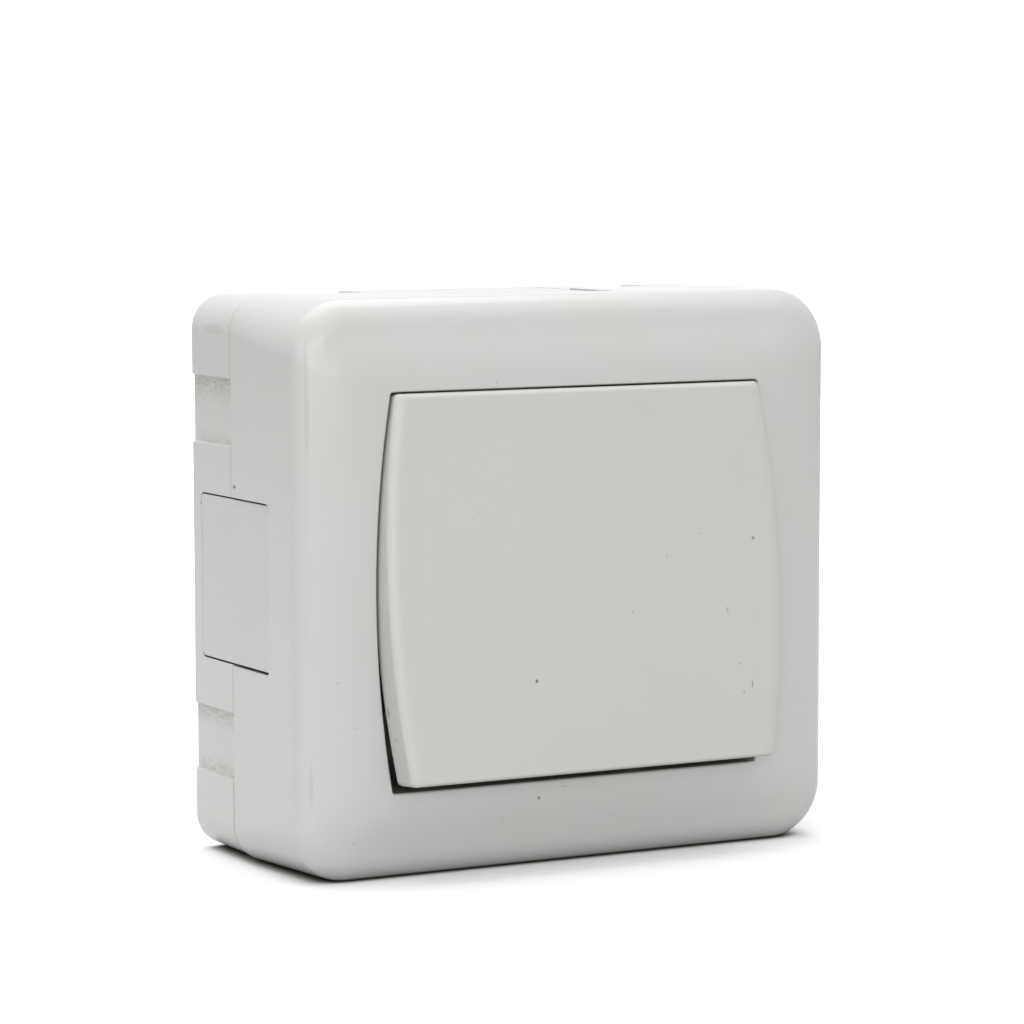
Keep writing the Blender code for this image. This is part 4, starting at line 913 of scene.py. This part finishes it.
def cover_finish(settings):
    """Glossy plastic with dust specks, two painted reflection lines, painted brown shade on the opening's
    walls and painted shade in narrow gaps.
    """
    made, tree, shader, where = new_material("cover_gloss", settings.colour, settings.roughness)
    colour = plastic_colour(tree, where, settings.colour)
    x, y, z = axes(tree, where)
    # Painted brown shade deep on the walls of the button's opening
    beside = remap(tree, maths(tree, "ABSOLUTE", x), *OPENING_WALL_SHADE_X, 1.0, 0.0)
    above = remap(tree, maths(tree, "ABSOLUTE", z), *OPENING_WALL_SHADE_Z, 1.0, 0.0)
    sunk = remap(tree, y, *OPENING_WALL_SHADE_Y, 0.0, OPENING_WALL_SHADE_SHARE)
    colour = mix_colour(tree, product(tree, beside, above, sunk), colour, OPENING_WALL_SHADE_COLOUR)
    # Painted shade in narrow gaps, then the marks
    colour = dust_and_reflection_marked(tree, where, shaded_in_gaps(tree, colour), COVER_DUST_AND_REFLECTION_MARKS, COVER_DUST_AND_REFLECTION_TINT)
    moulded_skin(tree, shader, where, colour, settings.roughness, spread=0.02, grain_depth=0.000002)
    return made


def base_finish(settings):
    """The same plastic, with dirt settled in the side recesses, painted shade along the seam with dirt
    dashes low down, and painted shade in narrow gaps.
    """
    made, tree, shader, where = new_material("base_gloss", settings.colour, settings.roughness)
    colour = plastic_colour(tree, where, settings.colour)
    x, y, z = axes(tree, where)
    off_centre = maths(tree, "ABSOLUTE", x)
    sunk = remap(tree, off_centre, *RECESS_OUTER_X, 1.0, 0.0)
    outside = remap(tree, off_centre, *RECESS_INNER_X, 0.0, 1.0)
    height = maths(tree, "ABSOLUTE", z)
    above_foot = remap(tree, height, *RECESS_FOOT_Z, 0.0, 1.0)
    below_top = remap(tree, height, *RECESS_TOP_Z, 1.0, 0.0)
    in_recess = product(tree, sunk, outside, above_foot, below_top)
    lowest = RECESS_DIRT[0][0]
    span = RECESS_DIRT[-1][0] - lowest
    ramp = node(tree, "ShaderNodeValToRGB", sockets={0: remap(tree, z, lowest, lowest + span, 0.0, 1.0)})
    stops = ramp.color_ramp.elements
    for index, (level, thickness) in enumerate(RECESS_DIRT):
        at = (level - lowest) / span
        stop = stops[index] if index < 2 else stops.new(at)
        stop.position = at
        stop.color = (thickness, thickness, thickness, 1.0)
    drawn_out = stretched(tree, where, RECESS_STRETCH)
    patches = remap(tree, noise(tree, drawn_out, *RECESS_PATCHES), 0.42, 0.64, 0.25, 1.0)
    grains = remap(tree, noise(tree, drawn_out, *RECESS_GRAINS), 0.56, 0.66, 0.0, 0.9)
    dirt = product(tree, ramp.outputs[0], maths(tree, "ADD", patches, grains), in_recess)
    colour = mix_colour(tree, dirt, colour, (*settings.dirt_colour, 1.0))
    # Painted shade along the seam, with dirt dashes low down
    at_seam_line = remap(tree, y, *SEAM_SHADE_AND_DIRT_Y, 1.0, 0.0)
    dashes = remap(tree, noise(tree, where, *SEAM_DASHES), 0.44, 0.56, 0.25, 0.75)
    low_down = remap(tree, z, *SEAM_DASH_Z, 1.0, 0.0)
    seam_shade_and_dirt = maths(tree, "MAXIMUM", product(tree, dashes, low_down), SEAM_SHADE_SHARE)
    colour = mix_colour(tree, product(tree, seam_shade_and_dirt, at_seam_line), colour, SEAM_SHADE_AND_DIRT_COLOUR)
    # Painted shade in narrow gaps, then dust specks
    colour = dust_and_reflection_marked(tree, where, shaded_in_gaps(tree, colour), BASE_MARKS, BASE_MARK_TINT)
    moulded_skin(tree, shader, where, colour, settings.roughness + 0.02, spread=0.02, grain_depth=0.000003)
    return made


def entry_finish(settings):
    """The inserts' plastic, a touch duller than the mouldings round it."""
    made, tree, shader, where = new_material("entry_satin", settings.colour, settings.roughness)
    colour = plastic_colour(tree, where, [part * ENTRY_TONE for part in settings.colour])
    # Painted shade in the narrow gaps round the insert
    colour = shaded_in_gaps(tree, colour)
    moulded_skin(tree, shader, where, colour, settings.roughness + 0.09, spread=0.02, grain_depth=0.000004)
    return made


def button_finish(settings):
    """Satin plastic, slightly warm, with dust specks."""
    made, tree, shader, where = new_material("button_satin", settings.colour, settings.roughness)
    colour = plastic_colour(tree, where, settings.colour)
    colour = dust_and_reflection_marked(tree, where, colour, BUTTON_MARKS, BUTTON_MARK_TINT)
    moulded_skin(tree, shader, where, colour, settings.roughness, spread=0.03, grain_depth=0.000004)
    return made


def plain_plastic_finish(name, colour, roughness):
    """Unpolished inner plastic with an eroded grain."""
    made, tree, shader, where = new_material(name, colour, roughness)
    tone = plastic_colour(tree, where, colour)
    moulded_skin(tree, shader, where, tone, roughness, spread=0.05, grain_depth=0.000012)
    return made


def metal_finish(name, colour, roughness, tarnish):
    """Drawn metal with fine lines across it and patches of tarnish."""
    made, tree, shader, where = new_material(name, colour, roughness, metallic=1.0)
    patches = remap(tree, noise(tree, where, TARNISH_SCALE, 5.0), 0.42, 0.68, 0.0, 1.0)
    tarnished = mix_colour(tree, patches, (*colour, 1.0), (*tarnish, 1.0))
    tree.links.new(tarnished, shader.inputs["Base Color"])
    lines = noise(tree, stretched(tree, where, DRAWN_STRETCH), 1.0, 2.0)
    gloss = remap(tree, lines, 0.3, 0.7, roughness - 0.06, roughness + 0.10)
    tree.links.new(gloss, shader.inputs["Roughness"])
    bump = node(tree, "ShaderNodeBump", sockets={"Strength": 0.3, "Distance": 0.000006, "Height": lines})
    tree.links.new(bump.outputs[0], shader.inputs["Normal"])
    return made


def dress(names, finish):
    """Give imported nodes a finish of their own."""
    for name in names:
        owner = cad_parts[name]
        for slot in owner.material_slots:
            slot.material = finish


def paper_finish(level):
    """Paper that is seen white and still keeps the shadow that falls on it.

    It is darker close to the switch, and a band at the left bounces more light up at its side.
    """
    made = bpy.data.materials.new("studio_paper")
    made.use_nodes = True
    tree = made.node_tree
    tree.nodes.clear()
    path = node(tree, "ShaderNodeLightPath")
    where = place(tree)
    rise = (PAPER_NEAR, PAPER_FAR, level, level * PAPER_RISE)
    seen_level = remap(tree, length(tree, where), *rise, smooth_ends=True)
    grain = remap(tree, noise(tree, where, *PAPER_GRAIN), 0.3, 0.7, *PAPER_TONES)
    free = openness(tree, CONTACT_REACH)
    clear_of_switch = remap(tree, free, CONTACT_DARK, CONTACT_CLEAR, 0.0, 1.0)
    seen = maths(tree, "MAXIMUM", path.outputs["Is Camera Ray"], path.outputs["Is Transmission Ray"])
    seen_tone = product(tree, seen, seen_level, clear_of_switch)
    across = axes(tree, where)[0]
    rising = remap(tree, across, *STRIP_RISE_X, 0.0, STRIP_TONE)
    strip = product(tree, rising, remap(tree, across, *STRIP_END_X, 1.0, 0.0))
    bounced = maths(tree, "MAXIMUM", maths(tree, "ADD", grain, strip), path.outputs["Is Glossy Ray"])
    unseen = maths(tree, "SUBTRACT", 1.0, seen)
    bounced_tone = product(tree, unseen, bounced, remap(tree, free, 0.0, 1.0, CONTACT_BOUNCE, 1.0))
    tone = maths(tree, "ADD", seen_tone, bounced_tone)
    warmth = maths(tree, "ADD", 1.0, product(tree, seen, SHADOW_WARMTH))
    blue = maths(tree, "POWER", tone, warmth)
    colour = node(tree, "ShaderNodeCombineColor", sockets={0: tone, 1: tone, 2: blue}).outputs[0]
    paper = node(tree, "ShaderNodeBsdfDiffuse", sockets={"Color": colour})
    out = node(tree, "ShaderNodeOutputMaterial")
    tree.links.new(paper.outputs[0], out.inputs[0])
    return made


def studio_world(ambient):
    """White to the camera and in reflections, and an even softer light from all round."""
    world = bpy.data.worlds.new("studio_world")
    world.use_nodes = True
    tree = world.node_tree
    tree.nodes.clear()
    path = node(tree, "ShaderNodeLightPath")
    seen = maths(tree, "MAXIMUM", path.outputs["Is Camera Ray"], path.outputs["Is Transmission Ray"])
    seen = maths(tree, "MAXIMUM", seen, path.outputs["Is Glossy Ray"])
    white = node(tree, "ShaderNodeBackground", sockets={"Color": WHITE, "Strength": 1.0})
    soft = node(tree, "ShaderNodeBackground", sockets={"Color": WHITE, "Strength": ambient})
    mixed = node(tree, "ShaderNodeMixShader", sockets={0: seen})
    tree.links.new(soft.outputs[0], mixed.inputs[1])
    tree.links.new(white.outputs[0], mixed.inputs[2])
    out = node(tree, "ShaderNodeOutputWorld")
    tree.links.new(mixed.outputs[0], out.inputs[0])
    bpy.context.scene.world = world


def area_lamp(name, where, size, power):
    """A square soft lamp at a place, looking at the switch."""
    bpy.ops.object.light_add(type="AREA", location=where)
    lamp = bpy.context.view_layer.objects.active
    lamp.name = name
    lamp.data.size = size
    lamp.data.energy = power
    lamp.rotation_euler = (Vector(CAMERA_AIM) - Vector(where)).to_track_quat("-Z", "Y").to_euler()


def photo_camera():
    """The camera at the photograph's viewing angle."""
    back = Vector((
        math.sin(CAMERA_YAW) * math.cos(CAMERA_PITCH),
        -math.cos(CAMERA_YAW) * math.cos(CAMERA_PITCH),
        math.sin(CAMERA_PITCH),
    ))
    bpy.ops.object.camera_add(location=Vector(CAMERA_AIM) + back * CAMERA_DISTANCE)
    camera = bpy.context.view_layer.objects.active
    camera.name = "photo_camera"
    level = Vector((math.cos(CAMERA_YAW), math.sin(CAMERA_YAW), 0.0))
    upward = back.cross(level)
    right = level * math.cos(CAMERA_ROLL) + upward * math.sin(CAMERA_ROLL)
    up = upward * math.cos(CAMERA_ROLL) - level * math.sin(CAMERA_ROLL)
    camera.rotation_euler = Matrix((right, up, back)).transposed().to_euler()
    camera.data.lens = CAMERA_LENS
    camera.data.sensor_width = CAMERA_SENSOR
    camera.data.shift_x, camera.data.shift_y = CAMERA_SHIFT
    camera.data.clip_start = CAMERA_CLIP
    bpy.context.scene.camera = camera


class SWITCH_OT_front_cover(bpy.types.Operator):
    """Build the front cover and its finish"""

    bl_idname = "switch.front_cover"
    bl_label = "Front Cover"

    def execute(self, context):
        settings = context.scene.switch_enclosure
        cover = front_cover(settings)
        settle_piece(cover, "enclosure", "front_cover", cover_finish(settings))
        return {"FINISHED"}


class SWITCH_OT_mounting_base(bpy.types.Operator):
    """Build the mounting base and its finish"""

    bl_idname = "switch.mounting_base"
    bl_label = "Mounting Base"

    def execute(self, context):
        settings = context.scene.switch_enclosure
        base = mounting_base(settings)
        settle_piece(base, "enclosure", "mounting_base", base_finish(settings))
        return {"FINISHED"}


class SWITCH_OT_cable_entries(bpy.types.Operator):
    """Build the four cable-entry inserts and their finish"""

    bl_idname = "switch.cable_entries"
    bl_label = "Cable Entries"

    def execute(self, context):
        settings = context.scene.switch_enclosure
        finish = entry_finish(settings)
        for side, angle, reach in ENTRY_SIDES:
            entry = cable_entry(side, angle, reach)
            settle_piece(entry, "enclosure", "cable_entry_" + side, finish)
        return {"FINISHED"}


class SWITCH_OT_button(bpy.types.Operator):
    """Build the operating button and its finish"""

    bl_idname = "switch.button"
    bl_label = "Button"

    def execute(self, context):
        settings = context.scene.switch_button
        settle_piece(rocker(), "button", "rocker", button_finish(settings))
        return {"FINISHED"}


class SWITCH_OT_mechanism(bpy.types.Operator):
    """Finish the switch module's plastics and metals"""

    bl_idname = "switch.mechanism"
    bl_label = "Mechanism"

    def execute(self, context):
        settings = context.scene.switch_mechanism
        housing = plain_plastic_finish("housing_grey", settings.housing_colour, HOUSING_ROUGHNESS)
        brass = metal_finish("terminal_brass", settings.brass_colour, *BRASS_FINISH)
        steel = metal_finish("zinc_steel", settings.steel_colour, *STEEL_FINISH)
        silver = metal_finish("contact_silver", *CONTACT_SILVER)
        dress(["mechanism_housing"], housing)
        dress(["rocker_cradle"], plain_plastic_finish("cradle_grey", *CRADLE_PLASTIC))
        dress(["plunger"], plain_plastic_finish("plunger_nylon", *PLUNGER_NYLON))
        dress(["plunger_spring"], metal_finish("spring_steel", *SPRING_STEEL))
        dress(["contact_lever"], metal_finish("lever_copper", *LEVER_COPPER))
        dress(["common_terminal", "upper_terminal", "lower_terminal"], brass)
        dress([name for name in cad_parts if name.startswith(STEEL_PIECES)], steel)
        dress([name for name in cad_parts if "_contact_" in name], silver)
        return {"FINISHED"}


class SWITCH_OT_studio(bpy.types.Operator):
    """Set up the paper, the lamps and the camera"""

    bl_idname = "switch.studio"
    bl_label = "Studio"

    def execute(self, context):
        settings = context.scene.switch_studio
        bpy.ops.object.select_all(action="DESELECT")
        bpy.ops.mesh.primitive_plane_add(size=PAPER_SIZE, location=(0.0, 0.0, FLOOR_LEVEL))
        paper = context.view_layer.objects.active
        paper.name = "studio_paper"
        bpy.ops.object.transform_apply(location=True, rotation=True, scale=True)
        paper.data.materials.append(paper_finish(settings.paper_white))
        studio_world(settings.ambient)
        for name, where, size, power in LAMPS:
            area_lamp(name, where, size, getattr(settings, power))
        photo_camera()
        context.scene.view_settings.view_transform = "Standard"
        return {"FINISHED"}


class SWITCH_PT_panel(bpy.types.Panel):
    """The light switch's pieces and settings in the 3D view's sidebar"""

    bl_idname = "SWITCH_PT_panel"
    bl_label = "Light Switch"
    bl_space_type = "VIEW_3D"
    bl_region_type = "UI"
    bl_category = "Light Switch"

    def draw(self, context):
        layout = self.layout
        for group in (EnclosureSettings, ButtonSettings, MechanismSettings, StudioSettings):
            owner = getattr(context.scene, SETTINGS[group])
            box = layout.box()
            for name in group.__annotations__:
                box.prop(owner, name)
        for operator in OPERATORS:
            layout.operator(operator.bl_idname)


SETTINGS = {
    EnclosureSettings: "switch_enclosure",
    ButtonSettings: "switch_button",
    MechanismSettings: "switch_mechanism",
    StudioSettings: "switch_studio",
}

OPERATORS = [
    SWITCH_OT_front_cover,
    SWITCH_OT_mounting_base,
    SWITCH_OT_cable_entries,
    SWITCH_OT_button,
    SWITCH_OT_mechanism,
    SWITCH_OT_studio,
]


def register():
    """Add the settings to the scene type, and the operators and the panel."""
    for group, name in SETTINGS.items():
        bpy.utils.register_class(group)
        setattr(bpy.types.Scene, name, PointerProperty(type=group))
    for kind in OPERATORS + [SWITCH_PT_panel]:
        bpy.utils.register_class(kind)


def unregister():
    """Take the panel, the operators and the settings away again."""
    for kind in [SWITCH_PT_panel] + OPERATORS[::-1]:
        bpy.utils.unregister_class(kind)
    for group, name in reversed(SETTINGS.items()):
        delattr(bpy.types.Scene, name)
        bpy.utils.unregister_class(group)


def main():
    """Build the whole switch."""
    register()
    bpy.ops.switch.front_cover()
    bpy.ops.switch.mounting_base()
    bpy.ops.switch.cable_entries()
    bpy.ops.switch.button()
    bpy.ops.switch.mechanism()
    bpy.ops.switch.studio()


if __name__ == "__main__":
    main()
